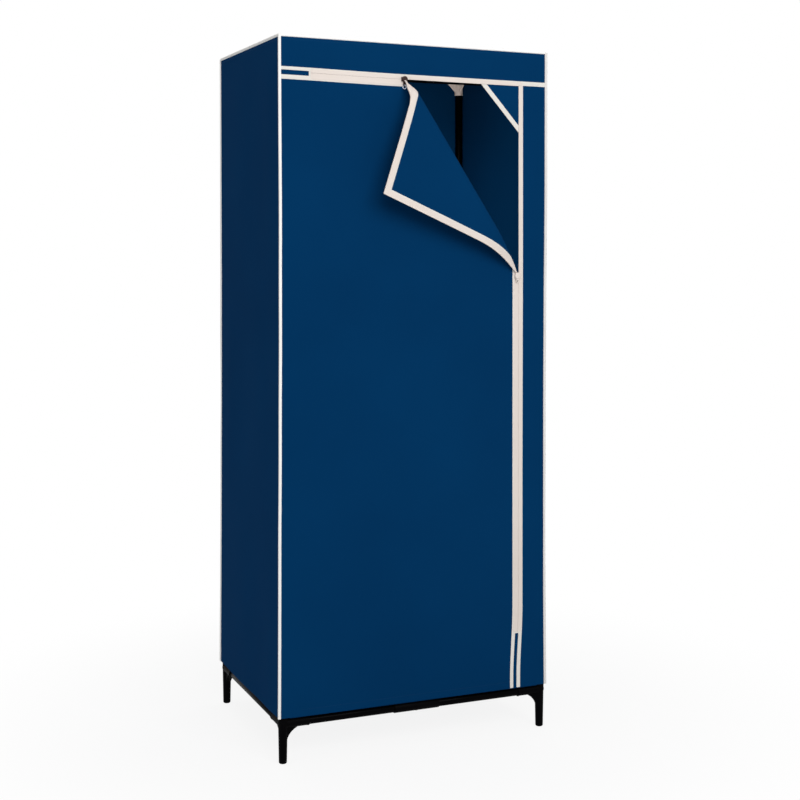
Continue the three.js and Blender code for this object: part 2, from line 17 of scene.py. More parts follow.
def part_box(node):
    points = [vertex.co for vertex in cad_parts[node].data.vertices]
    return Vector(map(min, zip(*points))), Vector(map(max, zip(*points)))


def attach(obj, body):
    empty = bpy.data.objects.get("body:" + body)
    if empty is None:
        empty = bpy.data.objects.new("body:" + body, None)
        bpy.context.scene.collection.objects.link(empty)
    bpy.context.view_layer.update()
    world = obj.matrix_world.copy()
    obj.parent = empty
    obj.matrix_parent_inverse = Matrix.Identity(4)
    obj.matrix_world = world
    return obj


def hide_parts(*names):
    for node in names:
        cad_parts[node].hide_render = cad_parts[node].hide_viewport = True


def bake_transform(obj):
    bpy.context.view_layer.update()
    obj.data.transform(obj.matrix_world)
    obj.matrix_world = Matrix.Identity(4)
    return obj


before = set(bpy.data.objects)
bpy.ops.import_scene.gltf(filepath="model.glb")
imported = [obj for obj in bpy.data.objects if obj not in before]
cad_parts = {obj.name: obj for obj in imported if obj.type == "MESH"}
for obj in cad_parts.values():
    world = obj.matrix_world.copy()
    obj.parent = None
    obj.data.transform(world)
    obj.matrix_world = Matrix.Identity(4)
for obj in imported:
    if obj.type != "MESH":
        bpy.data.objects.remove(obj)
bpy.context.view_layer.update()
MM = 0.001

# %% [markdown]
# ## Sizes that come from the frame
# Everything below is placed by the frame's own parts, so that nothing has to be fitted later. A
# part's box gives its lowest and highest corner. From a few boxes we get the plane of the front,
# the two zip lines, and the crease between the two sliders, where the corner folds.

# %% Planes and zip lines
door_low, door_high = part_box("door_panel")
side_tape_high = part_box("door_side_zip_tape")[1]
top_tape_low, top_tape_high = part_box("door_top_zip_tape")
left_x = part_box("cover_left_side")[0].x
right_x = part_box("cover_right_side")[1].x
back_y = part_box("cover_back")[1].y
roof_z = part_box("cover_top")[1].z
loop_low, loop_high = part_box("piping_top_loop")
knob_low, knob_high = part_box("top_slider")
front_y = door_low.y
middle_y = (door_low.y + door_high.y) / 2
hem_z = door_low.z
zip_x = (side_tape_high.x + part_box("stile_zip_tape")[0].x) / 2
zip_z = (top_tape_high.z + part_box("header_zip_tape")[0].z) / 2
crease_foot = Vector((side_tape_high.x, 0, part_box("side_slider")[1].z))
crease_head = Vector(((knob_low.x + knob_high.x) / 2, 0, top_tape_high.z))
crease_length = (crease_head - crease_foot).length
crease_up = (crease_head - crease_foot).normalized()
crease_out = Vector((crease_up.z, 0, -crease_up.x))
to_right, to_back, to_top = Vector((1, 0, 0)), Vector((0, 1, 0)), Vector((0, 0, 1))
print("zip lines at", round(zip_x, 4), round(zip_z, 4), "crease length", round(crease_length, 4))

# %% [markdown]
# ## Small helpers
# An operator works on whatever is selected, so each step first selects one object and nothing
# else. Modifiers are applied at once, so that each finished piece is a plain mesh at the origin.

# %% Select, edit and apply


def select_only(*objects):
    """Only these are selected, and the first is active."""
    bpy.ops.object.select_all(action="DESELECT")
    for obj in objects:
        obj.select_set(True)
    bpy.context.view_layer.objects.active = objects[0]


@contextmanager
def editing(obj, chosen=None, kind="VERT"):
    """Edit mode, with the whole mesh selected or only the chosen vertices or faces."""
    select_only(obj)
    bpy.ops.object.mode_set(mode="EDIT")
    bpy.ops.mesh.select_mode(type=kind)
    bpy.ops.mesh.select_all(action="DESELECT" if chosen else "SELECT")
    if chosen:
        bpy.ops.object.mode_set(mode="OBJECT")
        for item in obj.data.polygons if kind == "FACE" else obj.data.vertices:
            item.select = bool(chosen(item))
        bpy.ops.object.mode_set(mode="EDIT")
    yield
    bpy.ops.object.mode_set(mode="OBJECT")


def named(obj, name):
    obj.name = obj.data.name = name
    return obj


def settle(obj, name=None):
    """Put the object's place, turn and scale into its mesh."""
    select_only(obj)
    bpy.ops.object.transform_apply(location=True, rotation=True, scale=True)
    return named(obj, name) if name else obj


def modify(obj, kind, **settings):
    """Add a modifier, set it and apply it."""
    modifier = obj.modifiers.new(kind.lower(), kind)
    for key, value in settings.items():
        setattr(modifier, key, value)
    select_only(obj)
    bpy.ops.object.modifier_apply(modifier=modifier.name)
    return obj


def solidify(obj, thickness):
    return modify(obj, "SOLIDIFY", thickness=thickness, offset=-1)


def bevel(obj, width, segments=2, degrees=60):
    return modify(obj, "BEVEL", width=width, segments=segments, limit_method="ANGLE",
                  angle_limit=math.radians(degrees))


def smooth(obj, degrees=50):
    select_only(obj)
    bpy.ops.object.shade_smooth_by_angle(angle=math.radians(degrees))
    return obj


def twin(obj, name):
    """A copy with a mesh of its own."""
    select_only(obj)
    bpy.ops.object.duplicate()
    return named(bpy.context.object, name)


def join(objects, name):
    select_only(*objects)
    bpy.ops.object.join()
    return named(bpy.context.object, name)


def cut(obj, point, normal, fill=True):
    """Cut with a plane, and keep the side that the normal points away from."""
    with editing(obj):
        bpy.ops.mesh.bisect(plane_co=point, plane_no=normal, use_fill=fill, clear_outer=True)
    return obj


def face_out(obj):
    """Merge doubled vertices, then turn every face to the outside."""
    with editing(obj):
        bpy.ops.mesh.remove_doubles(threshold=0.01 * MM)
        bpy.ops.mesh.normals_make_consistent(inside=False)
    return obj


def points_of(obj):
    points = np.empty(len(obj.data.vertices) * 3)
    obj.data.vertices.foreach_get("co", points)
    return points.reshape(-1, 3)


def move_points(obj, points):
    obj.data.vertices.foreach_set("co", np.asarray(points, float).ravel())
    obj.data.update()
    return obj


def stand(obj, centre, *axes):
    """Turn an object's own axes to these three, put it in its place and settle it."""
    obj.matrix_world = Matrix.Translation(centre) @ Matrix(axes).transposed().to_4x4()
    return settle(obj)


def write_map(obj, flat=None):
    """Store the flat place of each vertex, in metres, as the cloth map."""
    if flat is None:
        flat = points_of(obj)[:, [0, 2]]
    for layer in list(obj.data.uv_layers):
        obj.data.uv_layers.remove(layer)
    layer = obj.data.uv_layers.new(name="cloth")
    index = np.empty(len(obj.data.loops), int)
    obj.data.loops.foreach_get("vertex_index", index)
    layer.data.foreach_set("uv", flat[index].ravel())
    return obj


def ease(t):
    """A smooth step from 0 to 1."""
    t = np.clip(t, 0, 1)
    return t * t * (3 - 2 * t)


# %% [markdown]
# ## Camera
# The camera stands where the photograph was taken from: three metres in front of the wardrobe, one
# to its left, level and at chest height. The lens is shifted down, as on a camera with a shift
# lens, so that upright edges stay upright in the picture.

# %% Camera
picture_width = 800
focal_pixels = 1427.9
horizon_pixel = 242.6
camera_turn = math.radians(22.68)
camera_place = Vector((-1.2912, -3.1835, 1.1446))
bpy.ops.object.camera_add(location=camera_place, rotation=(math.pi / 2, 0, -camera_turn))
camera = bpy.context.object
camera.data.sensor_width = 36
camera.data.lens = focal_pixels / picture_width * camera.data.sensor_width
camera.data.shift_y = -(picture_width / 2 - horizon_pixel) / picture_width
scene = bpy.context.scene
scene.camera = camera
scene.view_settings.view_transform = "Standard"
print("lens", round(camera.data.lens, 1), "mm, shift", round(camera.data.shift_y, 3))

# %% [markdown]
# ## Helpers for materials
# A material in Blender is a small graph. `add` makes one node, and sets or links its inputs.
# What several finishes share, such as a weave or fine dust, is a node group: it is built once,
# with named inputs, and each material uses it with values of its own. A group gives only a
# colour, a mask or a height, and the shader itself stays in the material.

# %% Nodes and groups
white = (1, 1, 1, 1)


def add(tree, kind, inputs=None, **settings):
    node = tree.nodes.new(kind)
    for key, value in settings.items():
        setattr(node, key, value)
    for key, value in (inputs or {}).items():
        if isinstance(value, bpy.types.NodeSocket):
            tree.links.new(value, node.inputs[key])
        else:
            node.inputs[key].default_value = value
    return node


def calc(tree, operation, a, b=0.0):
    return add(tree, "ShaderNodeMath", {0: a, 1: b}, operation=operation).outputs[0]


def noise(tree, place, scale, detail):
    return add(tree, "ShaderNodeTexNoise",
               {"Vector": place, "Scale": scale, "Detail": detail}).outputs[0]


def remap(tree, value, low, high, new_low=0.0, new_high=1.0, **settings):
    return add(tree, "ShaderNodeMapRange", {0: value, 1: low, 2: high, 3: new_low, 4: new_high},
               **settings).outputs[0]


def mix_colour(tree, factor, a, b):
    return add(tree, "ShaderNodeMix", {0: factor, 6: a, 7: b}, data_type="RGBA").outputs[2]


def start_group(name, inputs, outputs):
    """A group with its sockets. A default's kind is plain from its value: none is a vector."""
    tree = bpy.data.node_groups.new(name, "ShaderNodeTree")
    for label, value in inputs.items():
        kind = "Vector" if value is None else "Float" if isinstance(value, float) else "Color"
        socket = tree.interface.new_socket(label, in_out="INPUT", socket_type="NodeSocket" + kind)
        if value is not None:
            socket.default_value = value
    for label, kind in outputs.items():
        tree.interface.new_socket(label, in_out="OUTPUT", socket_type="NodeSocket" + kind)
    give = tree.nodes.new("NodeGroupOutput").inputs
    return tree, tree.nodes.new("NodeGroupInput").outputs, lambda label, value: tree.links.new(
        value, give[label])


def use(tree, group, inputs):
    return add(tree, "ShaderNodeGroup", inputs, node_tree=group).outputs


def colour(red, green, blue):
    """A colour as it is read from a picture, 0 to 255, made linear for the shader."""
    values = [v / 255 for v in (red, green, blue)]
    return [v / 12.92 if v <= 0.04045 else ((v + 0.055) / 1.055) ** 2.4 for v in values] + [1.0]


# %% [markdown]
# ### The weave group
# Cloth, binding and zip tape are all woven or pressed from threads that cross. Two sets of waves
# at right angles give the threads, and a slow noise makes some of them thicker. The group gives a
# height for the bump and a tone that darkens the gaps between threads.

# %% Weave group
thread_share = 0.25
slub_scale, slub_detail = 900.0, 3.0
weave, take, give = start_group("weave", {"Place": None, "Pitch": 0.001, "Twill": 0.0},
                                {"Height": "Float", "Tone": "Float"})
split = add(weave, "ShaderNodeSeparateXYZ", {0: take["Place"]}).outputs
turns = calc(weave, "DIVIDE", 2 * math.pi, take["Pitch"])
slant = calc(weave, "MULTIPLY", split["Y"], take["Twill"])
across = calc(weave, "MULTIPLY", calc(weave, "ADD", split["X"], slant), turns)
along = calc(weave, "MULTIPLY", split["Y"], turns)
threads = calc(weave, "ADD", calc(weave, "SINE", across), calc(weave, "SINE", along))
slub = noise(weave, take["Place"], slub_scale, slub_detail)
height = calc(weave, "ADD", calc(weave, "MULTIPLY", threads, thread_share), slub)
give("Height", height)
give("Tone", remap(weave, height, 0.1, 0.9))
print("weave group with", len(weave.nodes), "nodes")

# %% [markdown]
# ### The dye and dust groups
# No cloth takes its dye evenly, and a white trim picks up a little dust. The dye group mixes two
# close colours by a slow noise and by the tone of the weave. The dust group does the same for
# smooth parts, and also makes the dusty places rougher.

# %% Dye and dust groups
patch_share, patch_detail, tone_share = 0.6, 4.0, 0.4
dust_scale, dust_detail, dust_roughness = 14.0, 6.0, 0.1
grain_scale, grain_detail = 1400.0, 2.0
dye, take, give = start_group(
    "dye", {"Place": None, "Light": white, "Dark": (0, 0, 0, 1), "Tone": 0.5, "Patches": 3.0},
    {"Colour": "Color"})
patches = noise(dye, take["Place"], take["Patches"], patch_detail)
share = remap(dye, patches, 0.3, 0.7, 0.0, patch_share)
mixed = calc(dye, "ADD", share, calc(dye, "MULTIPLY", take["Tone"], tone_share))
give("Colour", mix_colour(dye, mixed, take["Dark"], take["Light"]))

dust, take, give = start_group(
    "dust", {"Place": None, "Base": (0, 0, 0, 1), "Dust": (0.3, 0.3, 0.3, 1), "Amount": 0.1,
             "Roughness": 0.3},
    {"Colour": "Color", "Roughness": "Float", "Height": "Float"})
mask = remap(dust, noise(dust, take["Place"], dust_scale, dust_detail), 0.45, 0.75)
dusty = calc(dust, "MULTIPLY", mask, take["Amount"])
give("Colour", mix_colour(dust, dusty, take["Base"], take["Dust"]))
rougher = calc(dust, "MULTIPLY", mask, dust_roughness)
give("Roughness", calc(dust, "ADD", take["Roughness"], rougher))
give("Height", noise(dust, take["Place"], grain_scale, grain_detail))
print("dye and dust groups ready")

# %% [markdown]
# ## Finishes
# The cloth is a matt non-woven polypropylene: a fine pressed grain, hardly any gloss and a faint
# blue sheen at a low angle. Its pattern reads the cloth's own map, in metres along the cloth, so
# that it follows every fold. The trims read the same kind of map. Each row of the table gives a
# light and a dark dye, the pitch of the threads in millimetres, their slant, the number of patches
# in a metre, and how deep, rough and glossy the cloth is.

# %% Cloth, binding and tape
looks = {}


def shader_of(name, **constants):
    """A material with one Principled shader, whose plain values are set on it directly."""
    material = bpy.data.materials.new(name)
    material.use_nodes = True
    shader = material.node_tree.nodes["Principled BSDF"]
    for key, value in constants.items():
        shader.inputs[key.replace("_", " ")].default_value = value
    looks[name] = material
    return material.node_tree, shader


def relief(tree, shader, height, strength, depth):
    bump = add(tree, "ShaderNodeBump", {"Strength": strength, "Distance": depth, "Height": height})
    tree.links.new(bump.outputs[0], shader.inputs["Normal"])


def cloth_finish(name, light, dark, pitch, twill, patches, bump, roughness, gloss, **constants):
    tree, shader = shader_of(name, Roughness=roughness, Specular_IOR_Level=gloss, **constants)
    place = add(tree, "ShaderNodeUVMap", uv_map="cloth").outputs[0]
    threads = use(tree, weave, {"Place": place, "Pitch": pitch * MM, "Twill": twill})
    dyed = use(tree, dye, {"Place": place, "Light": colour(*light), "Dark": colour(*dark),
                           "Tone": threads["Tone"], "Patches": patches})
    tree.links.new(dyed["Colour"], shader.inputs["Base Color"])
    relief(tree, shader, threads["Height"], bump, 0.1 * MM)


cloth_finish("navy_cloth", (2, 52, 93), (1, 44, 82), 1.3, 0.0, 2.2, 0.4, 0.9, 0.02,
             Sheen_Weight=0.04, Sheen_Roughness=0.6, Sheen_Tint=colour(20, 90, 170))
for row in (
        ("white_binding", (222, 219, 213), (213, 209, 202), 0.7, 1.0, 9.0, 0.25, 0.85, 0.1),
        # The two piping rows are copies of the white binding. The first is painted lighter than the
        # binding, which is painted light on the cords. The second is painted darker, which is
        # painted shade on the front right cord.
        ("white_piping", (246, 245, 243), (238, 236, 233), 0.7, 1.0, 9.0, 0.25, 0.85, 0.1),
        ("shaded_piping", (224, 221, 218), (215, 211, 207), 0.7, 1.0, 9.0, 0.25, 0.85, 0.1),
        ("zip_tape", (221, 211, 204), (214, 203, 195), 0.6, -1.0, 9.0, 0.25, 0.85, 0.1),
        ("navy_thread", (10, 58, 104), (3, 38, 72), 0.3, 1.0, 40.0, 0.25, 0.6, 0.2)):
    cloth_finish(*row)
print("cloth finishes:", list(looks))

# %% [markdown]
# Metal and plastic read Object coordinates, because their patterns need not follow anything. A row
# gives the colour, the colour and amount of its dust, the roughness and the strength of the bump.

# %% Metal and plastic


def smooth_finish(name, base, dust_colour, amount, roughness, bump, **constants):
    tree, shader = shader_of(name, **constants)
    place = add(tree, "ShaderNodeTexCoord").outputs["Object"]
    made = use(tree, dust, {"Place": place, "Base": colour(*base), "Dust": colour(*dust_colour),
                            "Amount": amount, "Roughness": roughness})
    tree.links.new(made["Colour"], shader.inputs["Base Color"])
    tree.links.new(made["Roughness"], shader.inputs["Roughness"])
    relief(tree, shader, made["Height"], bump, 0.05 * MM)


black, grey_dust = (3, 3, 4), (70, 70, 72)
smooth_finish("black_tube", black, grey_dust, 0.01, 0.24, 0.1,
              Specular_IOR_Level=0.012, Coat_Weight=0.008, Coat_Roughness=0.1)
smooth_finish("black_plastic", black, grey_dust, 0.02, 0.48, 0.35, Specular_IOR_Level=0.02)
# The grey plastic's colour is painted near white, paler than smoky grey, which is painted light.
# Its darker dust is random tone.
smooth_finish("grey_plastic", (238, 232, 227), (204, 196, 189), 0.5, 0.3, 0.1,
              Transmission_Weight=0.05, Specular_IOR_Level=0.5)
smooth_finish("slider_metal", (56, 42, 40), (38, 29, 28), 0.6, 0.6, 0.1,
              Metallic=0.3, Specular_IOR_Level=0.1)
smooth_finish("cream_metal", (219, 209, 202), (208, 197, 188), 0.5, 0.55, 0.1,
              Specular_IOR_Level=0.2)
smooth_finish("bright_wire", (205, 212, 228), (160, 166, 182), 0.4, 0.3, 0.05, Metallic=0.6)
smooth_finish("cream_plastic", (232, 222, 214), (214, 203, 194), 0.6, 0.42, 0.1)
print("all finishes:", len(looks))

# %% [markdown]
# ## Studio
# The photograph has a plain white ground. A floor catches a soft shadow near the wardrobe, and
# fades to white further out, where it meets the white world. The soft boxes are as strong as it
# takes for a colour to render about as it is written. The key box hangs in front, higher than the
# wardrobe, so the front is lit a little more at its top, and the left side less. Thin cloth lets
# some light through, which a weak lamp inside stands for.

# %% Floor and world
floor_size = 30
floor_white = 0.85
near_glow = 0.88
fade_from, fade_to = 0.45, 1.3
room_light = 0.38


def seen_rays(tree):
    """1 for rays that come from the camera, or by way of a mirror or glass."""
    ray = add(tree, "ShaderNodeLightPath").outputs
    return calc(tree, "MAXIMUM", calc(tree, "MAXIMUM", ray["Is Camera Ray"], ray["Is Glossy Ray"]),
                ray["Is Transmission Ray"])


bpy.ops.mesh.primitive_plane_add(size=floor_size, location=(0, 0, 0))
floor = named(bpy.context.object, "floor")
tree, shader = shader_of("floor_paint", Roughness=0.9, Specular_IOR_Level=0.1,
                         Base_Color=(floor_white, floor_white, floor_white, 1))
glow = add(tree, "ShaderNodeEmission", {"Color": white, "Strength": 1.0})
distance = add(tree, "ShaderNodeVectorMath", {0: add(tree, "ShaderNodeTexCoord").outputs["Object"]},
               operation="LENGTH").outputs["Value"]
fade = remap(tree, distance, fade_from, fade_to, near_glow, 1.0, interpolation_type="SMOOTHSTEP")
veil = add(tree, "ShaderNodeMixShader", {0: calc(tree, "MULTIPLY", seen_rays(tree), fade),
                                         1: shader.outputs[0], 2: glow.outputs[0]})
tree.links.new(veil.outputs[0], tree.nodes["Material Output"].inputs["Surface"])
floor.data.materials.append(looks["floor_paint"])

world = bpy.data.worlds.new("studio")
world.use_nodes = True
scene.world = world
tree = world.node_tree
background = tree.nodes["Background"].inputs
tree.links.new(remap(tree, seen_rays(tree), 0.0, 1.0, room_light, 1.0), background["Strength"])
background["Color"].default_value = white
print("floor and world ready")

# %% Lamps


def soft_box(name, place, aim, width, height, power):
    turn = (Vector(aim) - Vector(place)).to_track_quat("-Z", "Y")
    bpy.ops.object.light_add(type="AREA", location=place, rotation=turn.to_euler())
    lamp = named(bpy.context.object, name)
    lamp.data.shape = "RECTANGLE"
    lamp.data.size, lamp.data.size_y = width, height
    lamp.data.energy = power
    lamp.visible_camera = False
    return lamp


soft_box("key_box", (-0.1, -3.1, 2.5), (0, -0.2, 1.0), 2.8, 1.8, 80)
soft_box("fill_box", (-3.4, -1.6, 1.6), (0, 0, 0.8), 1.6, 2.4, 9)
soft_box("top_box", (0.2, 0.6, 3.8), (0, 0, 1.5), 2.0, 2.0, 30)
inside = soft_box("light_through_cloth", (0, -0.15, 1.0), (0, 0.2, 1.0), 0.5, 1.1, 3.3)
inside.data.color = (1.0, 0.85, 0.75)
print("four soft boxes")

# %% [markdown]
# ## Tubes
# The frame's tubes are cold-drawn steel with a gloss black coat. The solid tubes of the frame have
# flat sides, so each is replaced by a round one: a cylinder without ends gets its wall from
# Solidify, and Bevel rounds the cut ends. Each tube reads its place from the part it stands for.

# %% Round tubes
tube_wall = 0.9 * MM
round_sides = 40


def finish(obj, slot, *stands_for, look=None, body="frame"):
    """Give a piece its body and its material, and hide the parts it stands for: the material is the
    one with the slot's name, unless another look is named. A zip's half keeps its parts' materials."""
    material = looks.get(look or slot)
    if material:
        obj.data.materials.clear()
        obj.data.materials.append(material)
    if body:
        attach(obj, body)
    if stands_for:
        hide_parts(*stands_for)
    return obj


def between(start, end):
    """The length, place and turn of a round part that reaches from one point to another."""
    start, end = Vector(start), Vector(end)
    span = end - start
    return {"depth": span.length, "location": (start + end) / 2,
            "rotation": span.to_track_quat("Z", "Y").to_euler()}


def open_tube(name, start, end, radius):
    bpy.ops.mesh.primitive_cylinder_add(vertices=round_sides, radius=radius,
                                        end_fill_type="NOTHING", **between(start, end))
    return settle(bpy.context.object, name)


def give_wall(obj, wall):
    return smooth(bevel(solidify(obj, wall), wall / 3), 35)


def ends_of(node):
    """The two ends and the radius of a straight round part, from its box."""
    low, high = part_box(node)
    size = high - low
    axis = max(range(3), key=lambda i: size[i])
    start, end = (low + high) / 2, (low + high) / 2
    start[axis], end[axis] = low[axis], high[axis]
    return start, end, min(size) / 2


straight = [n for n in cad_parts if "rail" in n and "saddle" not in n and "sleeve" not in n]
straight += [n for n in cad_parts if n.startswith("upright_upper")]
for node in straight:
    finish(give_wall(open_tube("round_" + node, *ends_of(node)), tube_wall), "black_tube", node)
print(len(straight), "straight tubes")

# %% [markdown]
# A lower upright ends in a reduced neck that the upper tube slips over. It starts as the same
# cylinder, and its top edge is extruded twice: once inwards for the shoulder, once up for the neck.

# %% Lower uprights
neck_clearance = 0.3 * MM
shoulder_rise = 1.5 * MM


def extrude(x, y, z):
    bpy.ops.mesh.extrude_region_move(TRANSFORM_OT_translate={"value": (x, y, z)})


for node in [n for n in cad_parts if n.startswith("upright_lower")]:
    start, end, radius = ends_of(node)
    split_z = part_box(node.replace("lower", "upper"))[0].z - neck_clearance
    neck_share = (radius - tube_wall - neck_clearance) / radius
    shoulder = Vector((start.x, start.y, split_z - shoulder_rise))
    tube = open_tube("round_" + node, start, shoulder, radius)
    with editing(tube, lambda vertex: vertex.co.z > split_z - 2 * shoulder_rise):
        extrude(0, 0, shoulder_rise)
        bpy.ops.transform.resize(value=(neck_share, neck_share, 1))
        extrude(0, 0, end.z - split_z)
    finish(give_wall(tube, tube_wall), "black_tube", node)
print("four lower uprights with necks")

# %% [markdown]
# ## Moulded corner pieces
# A corner piece is one injection moulding: three sockets that meet, a leg, and webs that stiffen
# the angles. Modelling every fillet by hand is slow, so the plain shapes are joined while they
# overlap, and a voxel remesh turns them into one skin of small even squares. Smoothing then melts
# the sharp inner corners into the soft fillets that a mould leaves, and a Boolean modifier cuts the
# bores. One piece is made at the origin, and the four corners are turned copies of it.

# %% Joining plain shapes
voxel = 1.1 * MM
socket_low, socket_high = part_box("base_front_rail_sleeve")
socket_radius = (socket_high.z - socket_low.z) / 2
socket_wall = 1.7 * MM
bore_radius = socket_radius - socket_wall
bore_depth = 30 * MM
collar = 4 * MM
collar_proud = 0.7 * MM


def bar(start, end, radius, far_radius=None):
    """A round bar between two points, or a taper with a second radius."""
    bpy.ops.mesh.primitive_cone_add(vertices=round_sides, radius1=radius,
                                    radius2=far_radius or radius, **between(start, end))
    return settle(bpy.context.object)


def block(low, high):
    bpy.ops.mesh.primitive_cube_add(size=1, location=(Vector(low) + Vector(high)) / 2)
    bpy.context.object.scale = Vector(high) - Vector(low)
    return settle(bpy.context.object)


def ball(radius, segments, rings, centre=(0, 0, 0)):
    bpy.ops.mesh.primitive_uv_sphere_add(segments=segments, ring_count=rings, radius=radius,
                                         location=centre)
    return bpy.context.object


def combine(obj, other, operation="DIFFERENCE"):
    modify(obj, "BOOLEAN", object=other, operation=operation, solver="EXACT")
    bpy.data.objects.remove(other)
    return obj


def mould(name, solids, hollows, rounds=3):
    """Melt the solids into one skin, soften it, and cut the hollows."""
    body = join(solids, name)
    modify(body, "REMESH", mode="VOXEL", voxel_size=voxel)
    modify(body, "SMOOTH", factor=0.5, iterations=rounds)
    modify(body, "DECIMATE", ratio=0.3)
    for other in hollows:
        combine(body, other)
    return smooth(body, 60)


def socket_parts(reaches, ring_count):
    """Bars and bores for sockets along X, Y and Z, with a thicker collar at each mouth."""
    solids, hollows = [], []
    for axis, reach in zip((to_right, to_back, to_top), reaches):
        tip = axis * reach
        inward = tip.normalized()
        solids.append(bar((0, 0, 0), tip, socket_radius - collar_proud))
        for ring in range(ring_count):
            far = tip - inward * collar * 2 * ring
            solids.append(bar(far - inward * collar, far, socket_radius))
        hollows.append(bar(tip - inward * bore_depth, tip + inward * collar, bore_radius))
    return solids + [ball(socket_radius, 40, 20)], hollows


# %% [markdown]
# The base corner piece stands on a tapered leg. Its webs are blocks with a wide round bite taken
# out, which leaves the slightly hollow edge from the leg to the socket that the photograph shows.

# %% Base corner pieces
foot_low, foot_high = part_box("foot_connector_front_left")
rail_z = (socket_low.z + socket_high.z) / 2
foot_centre_x = foot_low.x + socket_radius
foot_reach = foot_high.x - foot_centre_x
leg_top, leg_foot, leg_edge = 10.5 * MM, 9 * MM, 1.5 * MM
web_reach, web_drop, web_half = 22 * MM, 24 * MM, 4.5 * MM
web_hollow_share = 0.1
corner_turns = {"front_left": 0, "front_right": 90, "rear_right": 180, "rear_left": 270}


def both_webs(web):
    """The same web under the sockets along X and along Y."""
    other = twin(web, "web")
    other.rotation_euler.z = math.pi / 2
    return [web, settle(other)]


def hollow_web():
    """A web under a socket, with its outer side hollowed."""
    low_z = -socket_radius - web_drop
    web = block((0, -web_half, low_z), (leg_foot + web_reach, web_half, 0))
    span = Vector((web_reach, 0, web_drop))
    hollow = web_hollow_share * span.length
    bite_radius = (span.length ** 2 / 4 + hollow ** 2) / (2 * hollow)
    middle = Vector((leg_foot, 0, low_z)) + span / 2
    middle += Vector((web_drop, 0, -web_reach)).normalized() * (bite_radius - hollow)
    side = to_back * 2 * web_half
    return combine(web, bar(middle - side, middle + side, bite_radius))


def set_corners(prefix, height, slot, solids, hollows, rounds=3):
    """A moulded piece at each post, whose axis is one socket radius in from the outside."""
    master = mould("master", solids, hollows, rounds)
    print(prefix + "pieces have", len(master.data.polygons), "faces each")
    for corner, degrees in corner_turns.items():
        low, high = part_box(prefix + corner)
        piece = twin(master, "moulded_" + prefix + corner)
        piece.rotation_euler.z = math.radians(degrees)
        piece.location = (low.x + socket_radius if "left" in corner else high.x - socket_radius,
                          low.y + socket_radius if "front" in corner else high.y - socket_radius,
                          height)
        finish(settle(piece), slot, prefix + corner)
    bpy.data.objects.remove(master)


solids, hollows = socket_parts((foot_reach, foot_reach, foot_high.z - rail_z), 1)
solids.append(bar((0, 0, -rail_z + leg_edge), (0, 0, 0), leg_foot, leg_top))
solids.append(bar((0, 0, -rail_z), (0, 0, -rail_z + 2 * leg_edge), leg_foot - leg_edge, leg_foot))
solids += both_webs(hollow_web())
set_corners("foot_connector_", rail_z, "black_plastic", solids, hollows, rounds=6)

# %% [markdown]
# The top corner pieces are smoky grey plastic, but their colour is painted near white, which is
# painted light for the light they catch. In the opening one can be seen to be ribbed, and flared
# where its webs run out, so its sockets get rings and its webs are thin straight plates.

# %% Top corner pieces
top_low, top_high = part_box("top_connector_front_left")
top_z = top_high.z - socket_radius
top_reach = top_high.x - (top_low.x + socket_radius)
top_web = socket_radius + 40 * MM
top_web_half = 3 * MM
top_rings = 4
straight_web = block((0, -top_web_half, -top_web), (top_web, top_web_half, 0))
cut(straight_web, (top_web, 0, 0), (1, 0, -1))
solids, hollows = socket_parts((top_reach, top_reach, -top_reach), top_rings)
set_corners("top_connector_", top_z, "grey_plastic", solids + both_webs(straight_web), hollows)

# %% [markdown]
# The two saddles that carry the hanging rail clip over the top side rails. The sleeves that join
# the halves of the base rails are short tubes with a raised ring in the middle.

# %% Saddles and sleeves
saddle_low, saddle_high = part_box("hanging_rail_saddle_left")
hang_low, hang_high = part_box("hanging_rail")
hang_z = (hang_low.z + hang_high.z) / 2 - top_z
saddle_half = (saddle_high.y - saddle_low.y) / 2
saddle_reach = saddle_high.x - (saddle_low.x + socket_radius)
neck_half = 7 * MM
overrun = 5 * MM
ring_half = 2 * MM
ring_proud = 0.5 * MM
for side, facing in (("left", 1), ("right", -1)):
    node = "hanging_rail_saddle_" + side
    low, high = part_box(node)
    x = low.x + socket_radius if facing > 0 else high.x - socket_radius
    mouth = facing * saddle_reach
    solids = [
        bar((0, -saddle_half, 0), (0, saddle_half, 0), socket_radius),
        bar((-facing * socket_radius, 0, hang_z), (mouth, 0, hang_z), socket_radius),
        block((-socket_radius, -neck_half, hang_z), (socket_radius, neck_half, 0))]
    hollows = [
        bar((0, -saddle_half - overrun, 0), (0, saddle_half + overrun, 0), bore_radius),
        bar((facing * (saddle_reach - bore_depth), 0, hang_z),
            (facing * (saddle_reach + overrun), 0, hang_z), bore_radius)]
    # The saddles take the same grey plastic, whose near-white colour is painted light.
    saddle = mould("moulded_" + node, solids, hollows)
    saddle.location = (x, (low.y + high.y) / 2, top_z)
    finish(settle(saddle), "grey_plastic", node)
for place in ("front", "rear"):
    node = f"base_{place}_rail_sleeve"
    start, end, radius = ends_of(node)
    middle = (start + end) / 2
    tube = give_wall(open_tube("sleeve_tube", start, end, radius - ring_proud),
                     socket_wall - ring_proud)
    rib = give_wall(open_tube("sleeve_rib", middle - to_right * ring_half,
                              middle + to_right * ring_half, radius), socket_wall)
    finish(join([tube, rib], "moulded_" + node), "black_plastic", node)
print("saddles and sleeves done")

# %% [markdown]
# ## Base board
# A stiff board, wrapped in the same cloth, lies on the base and is notched around the uprights.
# A block of its size has its four corners bitten out, and its edges are rounded.

